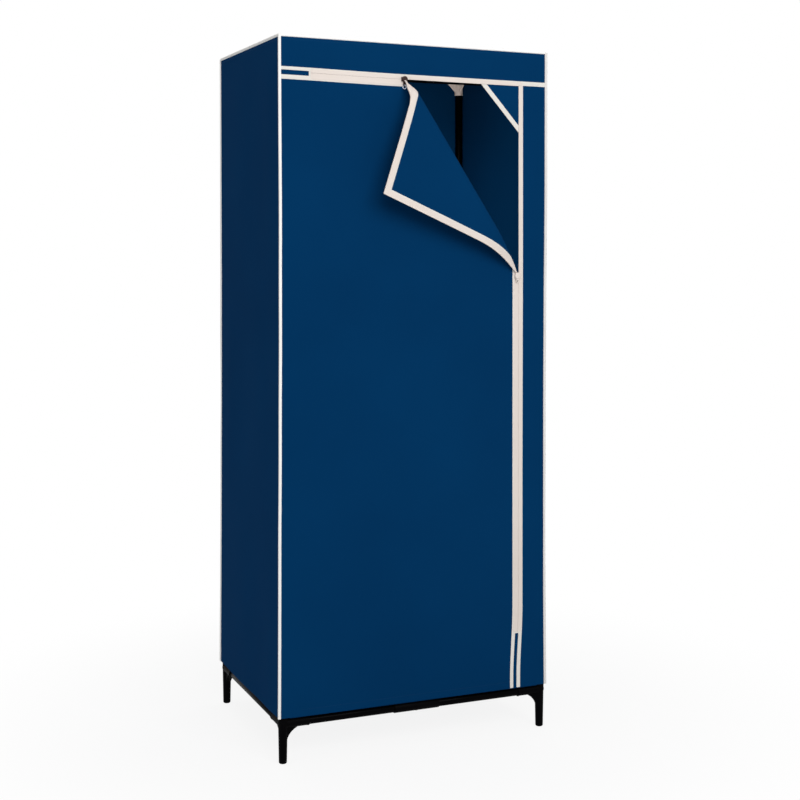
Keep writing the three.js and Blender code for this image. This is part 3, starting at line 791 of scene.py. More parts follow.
# %% Base board
board_low, board_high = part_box("base_panel")
board_gap, board_edge, bite_half = 0.3 * MM, 1 * MM, 10 * MM
board = block(board_low, board_high)
notch = board_high.x + foot_centre_x + socket_radius + board_gap
bite = Vector((notch, notch, bite_half))
for x in (board_low.x, board_high.x):
    for y in (board_low.y, board_high.y):
        corner = Vector((x, y, (board_low.z + board_high.z) / 2))
        combine(board, block(corner - bite, corner + bite))
bevel(board, board_edge, segments=3, degrees=50)
write_map(board, points_of(board)[:, [0, 1]])
finish(smooth(named(board, "wrapped_base_panel"), 35), "navy_cloth", "base_panel")
print("base board with notches of", round(notch / MM, 1), "mm")

# %% [markdown]
# ## How the cover hangs
# Cloth that hangs between seams is never a plane. A few gentle movements are shared by all the
# cloth and by all that is sewn to it, so that nothing comes apart. The ripple is a few long waves
# that fade out at the seams, and the bow draws the corner seams in at half height. The side zip
# hangs a little to the right of its line, and leans back to the left at its lower end. The top zip
# sags by a few millimetres, and the tilt lets the roof's seams hang lower at the right.

# %% Ripple, bow, lean and tilt
bow_depth, bow_width = 2.2 * MM, 60 * MM
strip_shift, strip_sag = 3 * MM, 2.3 * MM
lean_depth, lean_width = 7.2 * MM, 60 * MM
lean_top, lean_run = 0.295, 0.17
pull_depth, pull_width = 3 * MM, 120 * MM
pull_top, pull_run = 1.25, 0.7
sag_run, sag_low, sag_low_run, sag_high, sag_high_run = 0.3, 1.42, 0.06, 1.585, 0.05
roof_tilt, tilt_low, tilt_run = 3.5 * MM, 1.3, 0.15
front_reach = 0.05
wave_count, wave_tilt, wave_lengths, wave_peak = 6, 0.4, (0.16, 0.7), 3.5


def ripple(u, v, seed):
    """Long waves, mostly upright, between 0 and 1."""
    random = np.random.default_rng(seed)
    total = np.zeros_like(u)
    for _ in range(wave_count):
        tilt = random.normal(0, wave_tilt)
        length = random.uniform(*wave_lengths)
        phase = random.uniform(0, 2 * math.pi)
        total += np.sin((u * math.cos(tilt) + v * math.sin(tilt)) * 2 * math.pi / length + phase)
    return 0.5 + 0.5 * np.clip(total / wave_peak, -1, 1)


def drape_cover(obj):
    """The bow, the lean, the sag and the tilt, on any piece of the cover."""
    points = points_of(obj)
    x, z = points[:, 0], points[:, 2]
    share = np.clip((z - hem_z) / (loop_high.z - hem_z), 0, 1)
    bow = bow_depth * np.sin(np.pi * share) * ease((np.abs(x) - right_x + bow_width) / bow_width)
    lean = ((strip_shift - lean_depth * ease((lean_top - z) / lean_run))
            * ease(1 - np.abs(x - zip_x) / lean_width))
    front = points[:, 1] < middle_y + front_reach
    pull = (pull_depth * ease((pull_top - z) / pull_run)
            * ease((x - right_x + pull_width) / pull_width))
    sag = (strip_sag * ease((x + right_x) / sag_run) * ease((z - sag_low) / sag_low_run)
           * ease((sag_high - z) / sag_high_run))
    points[:, 0] = x - np.sign(x) * bow + np.where(front, lean, 0) - pull
    tilt = roof_tilt * x / right_x * ease((z - tilt_low) / tilt_run)
    points[:, 2] = z - tilt - np.where(front, sag, 0)
    return move_points(obj, points)


print("bow", round(bow_depth / MM, 1), "mm, lean", round(lean_depth / MM, 1), "mm")

# %% [markdown]
# ## Cloth panels
# Each panel starts as a flat grid of its cut size. It is placed in its plane by three directions:
# along its width, up its height and out of the cover. The ripple moves it in or out, an extruded
# edge turns in as a hem where the cover is open, and Solidify gives it its thickness. The roof is
# also lifted where it lies on the top rails and their sockets, like cloth stretched over them.

# %% Panel maker
cloth_wall = 0.45 * MM
hem_turn, hem_depth = 1.1 * MM, 18 * MM
seam_under = 2.5 * MM
wall_high = loop_low.z + seam_under
wall_height = wall_high - hem_z
seam_back = 1 * MM
depth_low, depth_high = front_y + seam_back, back_y - seam_back
depth_span = depth_high - depth_low
depth_middle = (depth_low + depth_high) / 2
width_span = right_x - left_x - 2 * seam_back
roof_slope, roof_clear, roof_soft = 0.045, 0.5 * MM, 0.6 * MM
top_right, top_back = -top_low.x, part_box("top_connector_rear_left")[1].y


def grid(name, width, height, step):
    across, up = max(2, round(width / step)), max(2, round(height / step))
    bpy.ops.mesh.primitive_grid_add(x_subdivisions=across, y_subdivisions=up, size=1)
    bpy.context.object.scale = (width, height, 1)
    return settle(bpy.context.object, name)


def turn_hem(obj, outward):
    """Turn the lower edge in and up."""
    with editing(obj, lambda vertex: vertex.co.z < hem_z + 0.1 * MM):
        extrude(*(-outward * hem_turn))
        extrude(0, 0, hem_depth)


def over_frame(points):
    """How far the roof rises to clear the sockets, falling gently inwards from their tops."""
    x, y, z = points[:, 0], points[:, 1] + depth_middle, points[:, 2] + roof_z
    near_y = np.minimum(y - top_low.y, top_back - y)
    inward = np.minimum(top_right - np.abs(x), near_y) - socket_radius
    clear_radius = socket_radius + cloth_wall + roof_clear
    outer = np.sqrt(np.maximum(clear_radius ** 2 - inward ** 2, 0))
    support = top_z + np.where(inward > 0, clear_radius - roof_slope * inward, outer)
    short = support - (z - roof_tilt * x / right_x)
    return (short + np.sqrt(short ** 2 + roof_soft ** 2)) / 2


def panel(name, centre, width, height, u, v, seed, depth, fade=0.09, hem=False, step=0.012, sag=0.0,
          lift=None):
    obj = grid(name, width, height, step)
    points = points_of(obj)
    near_side = width / 2 - np.abs(points[:, 0])
    near_end = height / 2 - (points[:, 1] if hem else np.abs(points[:, 1]))
    still = ease(near_side / fade) * ease(near_end / fade)
    dome = np.cos(np.pi * points[:, 0] / width) * np.cos(np.pi * points[:, 1] / height)
    points[:, 2] = depth * still * ripple(points[:, 0], points[:, 1], seed) - sag * dome
    if lift:
        points[:, 2] += lift(points)
    stand(move_points(obj, points), centre, u, v, u.cross(v))
    if hem:
        turn_hem(obj, u.cross(v))
    solidify(obj, cloth_wall)
    write_map(obj, points_of(obj)[:, [max(range(3), key=lambda i: abs(a[i])) for a in (u, v)]])
    return smooth(drape_cover(obj))


# %% Sides, back and roof
ripple_depth = 3 * MM
wall_z = (hem_z + wall_high) / 2
panels = {
    "cover_left_side": (Vector((left_x, depth_middle, wall_z)), depth_span, -to_back, 11),
    "cover_right_side": (Vector((right_x, depth_middle, wall_z)), depth_span, to_back, 23),
    "cover_back": (Vector((0, back_y, wall_z)), width_span, -to_right, 37)}
for node, (centre, width, u, seed) in panels.items():
    side = panel("cloth_" + node, centre, width, wall_height, u, to_top, seed, ripple_depth,
                 hem=True)
    finish(side, "navy_cloth", node)
roof = panel("cloth_cover_top", Vector((0, depth_middle, roof_z)), width_span, depth_span,
             to_right, to_back, 41, 1 * MM, step=0.005, sag=5 * MM, lift=over_frame)
finish(roof, "navy_cloth", "cover_top")

# %% [markdown]
# The header band and the right stile are the fixed cloth of the front. Each reaches behind the
# zip strip where the zip doesn't run: a navy tab shows there, through the slot between the two
# bindings.

# %% Header band and stile
binding_width, door_top_width, header_width = 9 * MM, 9.8 * MM, 7.5 * MM
slit_left, slit_right = zip_x - 4.3 * MM, zip_x + 4.8 * MM
slot_low, slot_high = zip_z - 4.6 * MM, zip_z + 6 * MM
slot_end = top_tape_low.x + 68 * MM
slit_top = hem_z + 131 * MM
under_binding = 2.5 * MM
tab_reach, tab_overlap, tab_lift = 1.5 * MM, 2 * MM, 0.9 * MM
edge_left, edge_right = left_x + seam_back, right_x - seam_back
band_foot = slot_high + header_width - under_binding
stile_left = slit_right + binding_width - under_binding
stile_top = slot_high + under_binding


def front_panel(name, x_low, x_high, z_low, z_high, seed, depth, hem=False, back=0.0):
    centre = Vector(((x_low + x_high) / 2, front_y + back, (z_low + z_high) / 2))
    return panel(name, centre, x_high - x_low, z_high - z_low, to_right, to_top, seed, depth,
                 fade=0.03, hem=hem, step=0.008)


header = join([
    front_panel("header_cloth", edge_left, edge_right, band_foot, wall_high, 53, 1.2 * MM),
    front_panel("header_tab", edge_left, slot_end + tab_overlap, slot_low - tab_reach,
                band_foot + tab_overlap, 3, 0, back=tab_lift)], "cloth_header_band")
finish(header, "navy_cloth", "header_band")
stile = join([
    front_panel("stile_cloth", stile_left, edge_right, hem_z, stile_top, 59, 1.0 * MM, hem=True),
    front_panel("stile_tab", slit_left - tab_reach, stile_left + tab_overlap, hem_z,
                slit_top + tab_overlap, 5, 0, back=tab_lift)], "cloth_right_stile")
finish(stile, "navy_cloth", "right_stile")
print("header from", round(band_foot, 4), "stile from", round(stile_left, 4))

# %% [markdown]
# ## The door, and how its corner folds
# The door is made flat and closed, as it is sewn. Then one function folds it: it takes a point of
# the flat cloth and gives its place on the folded cloth. Across the crease the cloth turns twice,
# out of the door and back over it, and the strip between the two turns is as wide as the fold
# stands out: most in the middle, and hardly at all where the sliders pinch it. Adding up small
# steps along the turning cloth gives the profile of the fold. What is sewn to the door, such as
# binding, zip and stitches, goes through the same function, so it stays on the cloth. The cloth
# keeps its length, because it only bends.

# %% Fold profile
fold_turn = math.radians(84)
fold_widths = (2.5 * MM, 28 * MM, 3 * MM)
fold_softs = (4.5 * MM, 36 * MM, 30 * MM)
foot_run, head_run = 0.249, 0.081
curl, curl_from, curl_run = math.radians(3.4), 0.05, 0.1
droop_share, droop_run = 0.068, 0.04
profile_t = np.linspace(0, 1, 61)
profile_s = np.linspace(-0.04, 0.32, 1441)
step_s = profile_s[1] - profile_s[0]


def along_crease(t, foot, middle, head):
    """A value that is small at the sliders, full between them, and grows fast at the foot."""
    return (middle - (middle - foot) * (1 - np.sin(np.pi / 2 * np.clip(t / foot_run, 0, 1)))
            - (middle - head) * (1 - ease((1 - t) / head_run)))


profile_angle = []
for t in profile_t:
    w, soft = along_crease(t, *fold_widths), along_crease(t, *fold_softs)
    turned = ease((profile_s + soft / 2) / soft) + ease((profile_s - w + soft / 2) / soft)
    profile_angle.append(fold_turn * turned + curl * ease((profile_s - curl_from) / curl_run))
profile_angle = np.array(profile_angle)
middle_angle = (profile_angle[:, 1:] + profile_angle[:, :-1]) / 2
nothing = np.zeros((len(profile_t), 1))
profile_across = np.hstack([nothing, np.cumsum(np.cos(middle_angle) * step_s, 1)]) + profile_s[0]
profile_height = np.hstack([nothing, np.cumsum(np.sin(middle_angle) * step_s, 1)])


def read_profile(table, s, t):
    """Read a table of the profile between its rows and columns."""
    row = np.clip(t * (len(profile_t) - 1), 0, len(profile_t) - 1.001)
    column = np.clip((s - profile_s[0]) / step_s, 0, len(profile_s) - 1.001)
    i, j = row.astype(int), column.astype(int)
    a, b = row - i, column - j
    top = table[i, j] * (1 - b) + table[i, j + 1] * b
    low = table[i + 1, j] * (1 - b) + table[i + 1, j + 1] * b
    return top * (1 - a) + low * a


def across_and_up(points):
    """Places beside the crease (s) and along it (q)."""
    dx, dz = points[:, 0] - crease_foot.x, points[:, 2] - crease_foot.z
    return dx * crease_out.x + dz * crease_out.z, dx * crease_up.x + dz * crease_up.z


def from_crease(across, y, up):
    """The points at these places beside the crease and along it: the way back."""
    return np.stack([crease_foot.x + across * crease_out.x + up * crease_up.x, y,
                     crease_foot.z + across * crease_out.z + up * crease_up.z], 1)


def fold_door(obj):
    """Fold a piece that was made flat on the closed door."""
    points = points_of(obj)
    s, q = across_and_up(points)
    lift = middle_y - points[:, 1]
    t = np.clip(q / crease_length, 0, 1)
    beyond = s - along_crease(t, *fold_widths)
    angle = read_profile(profile_angle, s, t)
    p = read_profile(profile_across, s, t) - np.sin(angle) * lift
    h = read_profile(profile_height, s, t) + np.cos(angle) * lift
    drooped = q - droop_share * np.clip(beyond, 0, None) * ease(beyond / droop_run)
    folded = s > profile_s[0]
    points[folded] = from_crease(p, middle_y - h, drooped)[folded]
    return move_points(obj, points)


print("fold of", round(math.degrees(2 * fold_turn)), "degrees, widest",
      round(fold_widths[1] / MM), "mm")

# %% [markdown]
# ### Where the door's cloth is cut
# A pose swings the door, or lays the folded corner flat. Cloth that crosses a joint must bend with
# it, so each door piece is cut into three, or two where there is no hinge strip, where the cloth
# follows one body alone: a strip beside the hinge seam, between the frame and the door; the middle,
# between the door and the fold; and the outer part, between the fold and the corner. Each part is
# listed with these two bodies and a span for its bend, but here the parts are only folded and are
# not bound to any body.

# %% Cutting and bending door pieces
hinge_cut_x = door_low.x + 46 * MM
fold_split = 6 * MM
bend_run, turn_run, hinge_rest = 24 * MM, 20 * MM, 6 * MM
split_line = np.full(len(profile_t), fold_split)
split_across = read_profile(profile_across, split_line, profile_t)
split_height = read_profile(profile_height, split_line, profile_t)
fold_point = crease_foot + crease_out * fold_split


def halfway(one, other):
    """The direction halfway between two angles of the fold's profile."""
    return (Vector((math.cos(one), math.sin(one)))
            + Vector((math.cos(other), math.sin(other)))).normalized()


def beside_crease(direction, reach):
    """A point in space, so far from the first bend along a direction of the fold's profile."""
    return (Vector((crease_foot.x, middle_y, crease_foot.z))
            + (crease_out * direction.x - to_back * direction.y) * reach)


into_fold = halfway(0, fold_turn)
out_of_fold = halfway(math.pi - fold_turn, 2 * fold_turn)
into_reach = (split_across * into_fold.x + split_height * into_fold.y).min()
out_reach = (split_across * out_of_fold.x + split_height * out_of_fold.y).max()
hinge_span = {"start": (door_low.x, middle_y, 0), "end": (hinge_cut_x - hinge_rest, middle_y, 0)}
fold_span = {"start": beside_crease(into_fold, into_reach - bend_run),
             "end": beside_crease(into_fold, into_reach)}
corner_span = {"start": beside_crease(out_of_fold, out_reach),
               "end": beside_crease(out_of_fold, out_reach + turn_run)}


def bend_door_parts(obj, name, slot, *stands_for, hinge=True):
    """Cut a flat door piece at the hinge strip and at the fold, and fold it. The bodies and spans
    listed for each part are not used.
    """
    parts = [(obj, "door", "fold", fold_span)]
    if hinge:
        strip = twin(obj, name + "_hinge_side")
        cut(strip, (hinge_cut_x, 0, 0), to_right)
        cut(obj, (hinge_cut_x, 0, 0), -to_right)
        parts.append((strip, "frame", "door", hinge_span))
    flap = twin(obj, name + "_corner")
    cut(flap, fold_point, -crease_out)
    cut(obj, fold_point, crease_out)
    parts.append((flap, "fold", "corner", corner_span))
    named(obj, name)
    for piece, near_body, far_body, span in parts:
        finish(smooth(fold_door(drape_cover(piece))), slot, body=None)
        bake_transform(piece)
    if stands_for:
        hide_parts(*stands_for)
    return [part[0] for part in parts]


print("bends: into the fold by", round(into_reach / MM, 1), "mm, out of it from",
      round(out_reach / MM, 1), "mm")

# %% [markdown]
# ### The door's cloth
# The grid is turned to the crease, so that its lines run along the bend and the folds come out
# clean. Its columns are close together at the crease and wide apart on the flat door. Four cuts
# then give it the outline of the closed door.

# %% Door cloth
door_right = slit_left - binding_width + under_binding
door_top = slot_low - door_top_width + under_binding
door_ripple, flap_ripple = 3.4 * MM, 2.5 * MM
seam_gap = 0.012
hinge_fade, side_fade, top_fade = 0.1, 0.07, 0.09
door_from, door_fade, flap_from, flap_fade = -0.03, 0.08, 0.05, 0.05
column_runs = ((-1.03, -0.05, 0.012), (-0.05, 0.06, 0.0016), (0.06, 0.26, 0.006))
row_run = (-0.84, 0.71, 0.011)


def let_out(obj):
    """Let the door's cloth stand out, by nothing at the seams and in the fold."""
    points = points_of(obj)
    x, z = points[:, 0], points[:, 2]
    s, q = across_and_up(points)
    still = ease((x - edge_left) / hinge_fade) * ease((zip_x - seam_gap - x) / side_fade)
    still *= ease((zip_z - seam_gap - z) / top_fade)
    on_door, on_flap = ease((door_from - s) / door_fade), ease((s - flap_from) / flap_fade)
    points[:, 1] -= door_ripple * still * ripple(x, z, 71) * on_door
    points[:, 1] -= flap_ripple * still * (ripple(x, z, 83) - 0.5) * on_flap
    return move_points(obj, points)


columns, rows = np.concatenate([np.arange(*run) for run in column_runs]), np.arange(*row_run)
last_column, last_row = len(columns) - 1, len(rows) - 1
bpy.ops.mesh.primitive_grid_add(x_subdivisions=last_column, y_subdivisions=last_row, size=2)
cloth = named(bpy.context.object, "door_cloth")
points = points_of(cloth)
s = columns[np.rint((points[:, 0] + 1) / 2 * last_column).astype(int)]
q = rows[np.rint((points[:, 1] + 1) / 2 * last_row).astype(int)]
move_points(cloth, from_crease(s, 0 * s + front_y, q))
for point, normal in (((door_right, 0, 0), to_right), ((edge_left, 0, 0), -to_right),
                      ((0, 0, door_top), to_top), ((0, 0, hem_z), -to_top)):
    cut(cloth, point, normal, fill=False)
with editing(cloth):
    bpy.ops.mesh.normals_make_consistent(inside=False)
if cloth.data.polygons[0].normal.y > 0:
    cloth.data.flip_normals()
turn_hem(let_out(cloth), -to_back)
write_map(solidify(cloth, cloth_wall))
door_parts = bend_door_parts(cloth, "door_cloth", "navy_cloth", "door_panel")
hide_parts("corner_fold", "door_corner_flap")
print("door cloth:", [len(p.data.polygons) for p in door_parts], "faces")

# %% [markdown]
# ## Bindings and zips
# Each raw edge beside a zip is wrapped in a white binding, 7 to 10 mm wide, sewn down with a row of
# stitches at each side. Where the zip runs, its beige tape is sewn over the binding and leaves only
# a narrow white edge. It is a coil zip with its teeth at the back, so from the front the closed zip
# is one plain strip with a fine line in it. A binding starts as a grid that Solidify makes a band
# and Bevel rounds. Stitches and teeth are one small bead each, repeated by an Array modifier.

# %% Band and bead makers
band_front, band_back = middle_y - 1.15 * MM, middle_y + 0.7 * MM
tape_front, tape_back = middle_y - 1.4 * MM, middle_y + 0.95 * MM
white_edge = 2.3 * MM
stitch_pitch, stitch_inset = 3.2 * MM, 1.4 * MM
tooth_pitch, tooth_off = 1.9 * MM, 1.5 * MM
stitch_size = (2.3 * MM, 0.55 * MM, 0.45 * MM)
tooth_size = (1.3 * MM, 2.6 * MM, 1.7 * MM)
tooth_y = tape_back - 0.1 * MM
gap_half = 0.15 * MM
side_split, top_split = zip_x + 2.15 * MM, zip_z + 2 * MM


def band(name, x_low, x_high, z_low, z_high, y_front, y_back, round_by=0.35 * MM):
    """A flat strip on the front, between two corners, with rounded edges."""
    obj = grid(name, x_high - x_low, z_high - z_low, 3.5 * MM)
    centre = Vector(((x_low + x_high) / 2, y_front, (z_low + z_high) / 2))
    stand(obj, centre, to_right, to_top, -to_back)
    return write_map(bevel(solidify(obj, y_back - y_front), round_by))


def beads(name, start, end, pitch=stitch_pitch, size=stitch_size):
    """A row of small rounded beads: size is along the row, across it and out of the cloth."""
    start, end = Vector(start), Vector(end)
    forward = (end - start).normalized()
    side = forward.cross(-to_back)
    obj = named(ball(0.5, 6, 4), name)
    turn = Matrix((forward, side, forward.cross(side))).transposed().to_4x4()
    place = Matrix.Translation(start + forward * pitch / 2)
    obj.matrix_world = place @ turn @ Matrix.Diagonal((*size, 1))
    modify(settle(obj), "ARRAY", count=max(1, int((end - start).length / pitch)),
           use_relative_offset=False, use_constant_offset=True,
           constant_offset_displace=forward * pitch)
    return write_map(smooth(obj, 80))


def line(upright, across, y, run, back=0.0):
    """The two ends of a row on the front: upright at one x, or level at one z."""
    return [Vector((across, y, at) if upright else (at, y, across)) + to_back * back for at in run]


def stitched(name, x_low, x_high, z_low, z_high, upright):
    """A binding with rows of stitches along each long side, at the front and at the back."""
    made = [band(name, x_low, x_high, z_low, z_high, band_front, band_back)]
    run = (z_low, z_high) if upright else (x_low, x_high)
    low, high = (x_low, x_high) if upright else (z_low, z_high)
    for across in (low + stitch_inset, high - stitch_inset):
        for back in (0, band_back - band_front):
            made.append(beads("stitches", *line(upright, across, band_front, run, back)))
    return join(made, name)


def zip_half(name, corners, upright, tooth_across, tooth_run, seam_across, seam_run):
    """A zip tape with its coil at the back and a seam at its outer edge."""
    tape = band(name, *corners, tape_front, tape_back, round_by=0.3 * MM)
    seam = beads("seam", *line(upright, seam_across, tape_front, seam_run))
    teeth = beads("teeth", *line(upright, tooth_across, tooth_y, tooth_run), tooth_pitch,
                  tooth_size)
    for part, look in ((tape, "zip_tape"), (seam, "zip_tape"), (teeth, "cream_plastic")):
        part.data.materials.append(looks[look])
    return join([tape, seam, teeth], name)


print("makers ready; a binding is", round(binding_width / MM), "mm wide")

# %% Fixed bindings and zip halves
fixed_left, fixed_right = left_x + 3 * MM, right_x - 3 * MM
bar_width, bar_back, cap_back = 4 * MM, 0.2 * MM, 0.1 * MM
lap, cap_low, tape_short = 1 * MM, slot_high - 2.6 * MM, 2 * MM
tape_end, tape_high = slit_right + binding_width - lap, slot_high + header_width - white_edge
tape_right = slit_right + binding_width - white_edge
header_binding = join([
    stitched("binding_header", fixed_left, fixed_right, slot_high, slot_high + header_width, False),
    band("slot_bar", slot_end - bar_width, slot_end, slot_low, slot_high + lap,
         band_front + bar_back, band_back),
    band("stile_cap", slit_right + lap, fixed_right, cap_low, slot_high + lap,
         band_front + cap_back, band_back)], "binding_header")
finish(drape_cover(smooth(header_binding)), "white_binding", "header_zip_tape")
header_zip = zip_half("zip_header", (slot_end, tape_end, top_split + gap_half, tape_high), False,
                      top_split + tooth_off, (slot_end, zip_x),
                      tape_high - stitch_inset, (slot_end, tape_end))
finish(drape_cover(smooth(header_zip)), "beige_tape")
stile_binding = join([
    stitched("binding_stile", slit_right, slit_right + binding_width, hem_z, slot_high, True),
    band("slit_bar", slit_left, slit_right + lap, slit_top - bar_width, slit_top,
         band_front + bar_back, band_back)], "binding_stile")
finish(drape_cover(smooth(stile_binding)), "white_binding", "stile_zip_tape")
stile_corners = side_split + gap_half, tape_right, slit_top, slot_high - tape_short
stile_zip = zip_half("zip_stile", stile_corners, True, side_split + tooth_off, (slit_top, zip_z),
                     tape_right - stitch_inset, (slit_top, zip_z))
finish(drape_cover(smooth(stile_zip)), "beige_tape")
print("fixed bindings and zip halves done")

# %% [markdown]
# The door's own bindings and zip halves are made on the closed door, and meet in a mitre at its
# top right corner. Then they go through the same fold as the cloth.

# %% Door bindings and zip halves
corner_x, corner_z = side_split - gap_half, top_split - gap_half
mitre, zip_mitre = (slit_left, 0, slot_low), (corner_x, 0, corner_z)
under, over = (1, 0, -1), (-1, 0, 1)
tape_left, tape_low = slit_left - binding_width + white_edge, slot_low - door_top_width + white_edge
teeth_end = 3 * MM
top_binding = stitched("binding_door_top", fixed_left, slit_left, slot_low - door_top_width,
                       slot_low, False)
side_binding = stitched("binding_door_side", slit_left - binding_width, slit_left, hem_z,
                        slot_low, True)
bend_door_parts(let_out(cut(top_binding, mitre, under)), "binding_door_top", "white_binding",
                "door_top_zip_tape")
side_parts = bend_door_parts(let_out(cut(side_binding, mitre, over)), "binding_door_side",
                             "white_binding", "door_side_zip_tape", hinge=False)
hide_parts("flap_zip_tape")
top_zip = zip_half("zip_door_top", (slot_end, corner_x, tape_low, corner_z), False,
                   top_split - tooth_off, (slot_end + tooth_pitch / 2, corner_x - teeth_end),
                   tape_low + stitch_inset, (slot_end, tape_left))
side_zip = zip_half("zip_door_side", (tape_left, corner_x, slit_top, corner_z), True,
                    side_split - tooth_off, (slit_top + tooth_pitch / 2, corner_z - teeth_end),
                    tape_left + stitch_inset, (slit_top, tape_low))
bend_door_parts(cut(top_zip, zip_mitre, under), "zip_door_top", "beige_tape", hinge=False)
bend_door_parts(cut(side_zip, zip_mitre, over), "zip_door_side", "beige_tape", hinge=False)
print("door bindings and zips folded")

# %% [markdown]
# ## Gusset
# Behind the opening's top right corner, a small triangle of cloth with its own binding stops the
# corner from tearing. The binding is a band made level, then turned to the slanting edge.

# %% Gusset and its binding
gusset_low, gusset_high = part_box("corner_gusset")
gusset_back = to_back * gusset_low.y
gusset_left = Vector((gusset_low.x, 0, zip_z))
gusset_foot = Vector((zip_x, 0, gusset_low.z))
slant = gusset_foot - gusset_left
slant_out = Vector((slant.z, 0, -slant.x)).normalized()
slant_width, slant_overrun = 11 * MM, 16 * MM
half_run = slant.length / 2 + slant_overrun
row_y, row_z, slant_back = -0.5 * MM, slant_width - stitch_inset, 0.9 * MM
cloth_past, binding_past = 3 * MM, 5 * MM
binding_right, binding_high = gusset_high.x - 2 * MM, gusset_high.z - 5 * MM
cloth_low = gusset_low - Vector((4, 0, 6)) * MM
cloth_high = gusset_high - Vector((0, 0, 4)) * MM
cloth_low.y = cloth_high.y = 0
gusset_width, gusset_height = cloth_high.x - cloth_low.x, cloth_high.z - cloth_low.z
gusset = panel("cloth_corner_gusset", (cloth_low + cloth_high) / 2 + gusset_back, gusset_width,
               gusset_height, to_right, to_top, 97, 0.2 * MM, fade=0.02, step=0.006)
cut(gusset, gusset_left + slant_out * cloth_past, slant_out)
finish(gusset, "navy_cloth", "corner_gusset")
level = join([band("binding_gusset", -half_run, half_run, 0, slant_width, row_y, slant_back),
              beads("stitches", (-half_run, row_y, row_z), (half_run, row_y, row_z))],
             "binding_gusset")
stand(level, (gusset_left + gusset_foot) / 2 + slant_out * binding_past + gusset_back,
      slant.normalized(), to_back, -slant_out)
cut(level, (binding_right, 0, 0), to_right)
cut(level, (0, 0, binding_high), to_top)
finish(smooth(face_out(level)), "white_binding")
print("gusset", round(slant.length / MM), "mm along its slanting edge")

# %% [markdown]
# ## Piping
# Where two panels meet, a cord wrapped in white binding is sewn into the seam. It is a curve with
# a round bevel, turned into a mesh. Seams are sewn by hand and eye, so the cord wanders by a
# fraction of a millimetre.

# %% Piping on the upright edges and around the roof
piping_radius = ends_of("piping_front_left")[2]
piping_points = 90
corner_round = 6 * MM


def cord_mesh(name, route, axis, closed=False):
    """A cord along a route, with a cloth map that runs along it and round it."""
    curve = bpy.data.curves.new(name, "CURVE")
    curve.dimensions = "3D"
    curve.bevel_depth = piping_radius
    curve.bevel_resolution = 5
    curve.use_fill_caps = not closed
    spline = curve.splines.new("POLY")
    spline.points.add(len(route) - 1)
    for point, place in zip(spline.points, route):
        point.co = (*place, 1)
    spline.use_cyclic_u = closed
    obj = bpy.data.objects.new(name, curve)
    scene.collection.objects.link(obj)
    select_only(obj)
    bpy.ops.object.convert(target="MESH")
    obj = smooth(named(face_out(bpy.context.object), name), 60)
    points = points_of(obj)
    first, second = (points - points.mean(0))[:, [i for i in range(3) if i != axis]].T
    return write_map(obj, np.stack([np.arctan2(second, first) * piping_radius, points[:, axis]], 1))


def wander(seed, size=0.35 * MM):
    """A slow random walk for a seam, with no jump at its ends."""
    random = np.random.default_rng(seed)
    t = np.linspace(0, 1, piping_points)
    total = np.zeros(piping_points)
    for turn in range(1, 7):
        total += random.normal(0, 1 / turn) * np.sin(np.pi * t * turn * 2)
    return total * size


loop_z = (loop_low.z + loop_high.z) / 2
for index, corner in enumerate(corner_turns):
    node = "piping_" + corner
    start = ends_of(node)[0]
    route = list(zip(start.x + wander(100 + index), start.y + wander(200 + index),
                     np.linspace(start.z, loop_z, piping_points)))
    # The front right cord takes the darker piping, which is painted shade. The other cords take the
    # lighter piping, which is painted light.
    finish(drape_cover(cord_mesh("cord_" + node, route, 2)), "white_binding", node,
           look="shaded_piping" if corner == "front_right" else "white_piping")
bends = []
reach = (loop_high - loop_low) / 2 - Vector((1, 1, 0)) * (piping_radius + corner_round)
for first, sign_x, sign_y in ((0, 1, 1), (90, -1, 1), (180, -1, -1), (270, 1, -1)):
    middle = (loop_low + loop_high) / 2 + Vector((sign_x * reach.x, sign_y * reach.y, 0))
    for angle in range(first, first + 91, 15):
        turned = math.radians(angle)
        bends.append(middle + Vector((math.cos(turned), math.sin(turned), 0)) * corner_round)
route = []
for here, there in zip(bends, bends[1:] + bends[:1]):
    pieces = max(1, int((there - here).length / 0.02))
    route += [here.lerp(there, k / pieces) for k in range(pieces)]
loop = cord_mesh("cord_piping_top_loop", route, 0, closed=True)
# The roof loop takes the lighter piping, which is painted light.
finish(drape_cover(loop), "white_binding", "piping_top_loop", look="white_piping")
print("piping radius", round(piping_radius / MM, 2), "mm, roof loop of", len(route), "points")

# %% [markdown]
# ## Seam and hem stitches
# A row of navy stitches runs beside every piped seam, and another holds the hem. They are the same
# beads as on the bindings.

# %% Navy stitches
seam_row = 6.5 * MM
row_high = wall_high - 8 * MM
hem_row_z = hem_z + hem_depth - 3 * MM
row_left, row_right = left_x + seam_row, right_x - seam_row


def navy_row(start, end, name="row"):
    return beads(name, start, end, size=(2.4 * MM, 0.5 * MM, 0.4 * MM))


def sewn(rows, body="frame"):
    return finish(drape_cover(rows), "navy_cloth", look="navy_thread", body=body)


for node, (centre, width, u, seed) in panels.items():
    half, low = width / 2 - seam_row, hem_z + 1 * MM
    made = join([navy_row((-half, 0, low), (-half, 0, row_high)),
                 navy_row((half, 0, low), (half, 0, row_high)),
                 navy_row((-half, 0, hem_row_z), (half, 0, hem_row_z)),
                 navy_row((-half, 0, row_high), (half, 0, row_high))], "stitches_" + node)
    sewn(stand(made, (centre.x, centre.y, 0), u, -u.cross(to_top), to_top))
sewn(join([
    navy_row((row_left, front_y, row_high), (row_right, front_y, row_high)),
    navy_row((row_right, front_y, hem_z), (row_right, front_y, row_high))], "stitches_front"))
door_row = navy_row((row_left, front_y, hem_z), (row_left, front_y, door_top), "stitches_door_seam")
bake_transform(sewn(door_row, body=None))
hem_row = navy_row((hinge_cut_x, front_y, hem_row_z), (door_right, front_y, hem_row_z),
                   "stitches_door_hem")
sewn(let_out(hem_row), body="door")
print("stitches on", len(panels), "walls and the front")

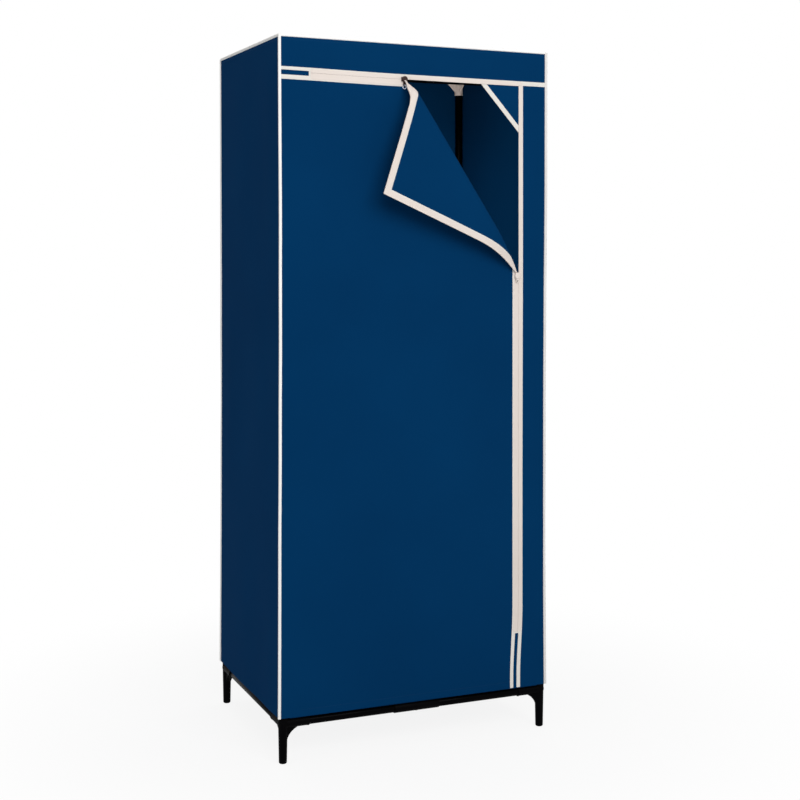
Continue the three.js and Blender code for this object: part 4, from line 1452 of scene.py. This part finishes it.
# %% [markdown]
# ## Sliders, pulls and ring
# The top slider is brown gunmetal: a body that hugs the teeth, a round cap on its post, a small
# pull tab and a wire ring. The body is a block whose front is inset and drawn out, then beveled.
# The side slider is the same, painted cream to match the tape.

# %% Slider parts
plate, rim, rim_rise = 3 * MM, 2 * MM, 0.4 * MM
post_radius, post_short = 1.6 * MM, 1 * MM
cap_radius, cap_flat, cap_sunk = 7 * MM, 0.16, 0.9 * MM
eye_radius, eye_overrun = 1.9 * MM, 5 * MM
body_edge, tab_edge = 0.7 * MM, 0.25 * MM
wire = 0.95 * MM


def slider_body(node, name):
    low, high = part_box(node)
    x, z = (low.x + high.x) / 2, (low.z + high.z) / 2
    obj = block((low.x, high.y - plate, low.z), high)
    with editing(obj, lambda polygon: polygon.normal.y < -0.9, kind="FACE"):
        bpy.ops.mesh.inset(thickness=rim)
        bpy.ops.transform.translate(value=(0, -rim_rise, 0))
    bevel(obj, body_edge, segments=3, degrees=20)
    post = bar((x, high.y - plate, z), (x, low.y + post_short, z), post_radius)
    cap = ball(cap_radius, 32, 16, (x, low.y + cap_sunk, z))
    cap.scale.y = cap_flat
    return smooth(join([obj, post, settle(cap)], name), 40)


def pull_tab(node, name):
    """A plate with a round end and an eye at its top and its foot."""
    low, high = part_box(node)
    x, half = (low.x + high.x) / 2, (high.x - low.x) / 2
    tab = block((low.x, low.y, low.z + half), (high.x, high.y, high.z - half))
    for radius, past, operation in ((half, 0, "UNION"), (eye_radius, eye_overrun, "DIFFERENCE")):
        for z in (high.z - half, low.z + half):
            combine(tab, bar((x, low.y - past, z), (x, high.y + past, z), radius), operation)
    return smooth(named(bevel(tab, tab_edge, degrees=50), name), 40)


for place, slot in (("top", "slider_metal"), ("side", "cream_metal")):
    finish(slider_body(place + "_slider", "slider_" + place), slot, place + "_slider",
           body=f"{place}_zip_slider")
    finish(pull_tab(place + "_pull", "pull_" + place), slot, place + "_pull",
           body=f"{place}_zip_pull")
ring_low, ring_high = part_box("top_ring")
bpy.ops.mesh.primitive_torus_add(
    major_segments=48, minor_segments=12, major_radius=(ring_high.z - ring_low.z) / 2 - wire,
    minor_radius=wire, location=(ring_low + ring_high) / 2,
    rotation=(math.pi / 2, 0, math.radians(-45)))
finish(smooth(settle(bpy.context.object, "ring_top"), 60), "bright_wire", "top_ring",
       body="top_zip_ring")
print("sliders, pulls and ring done")
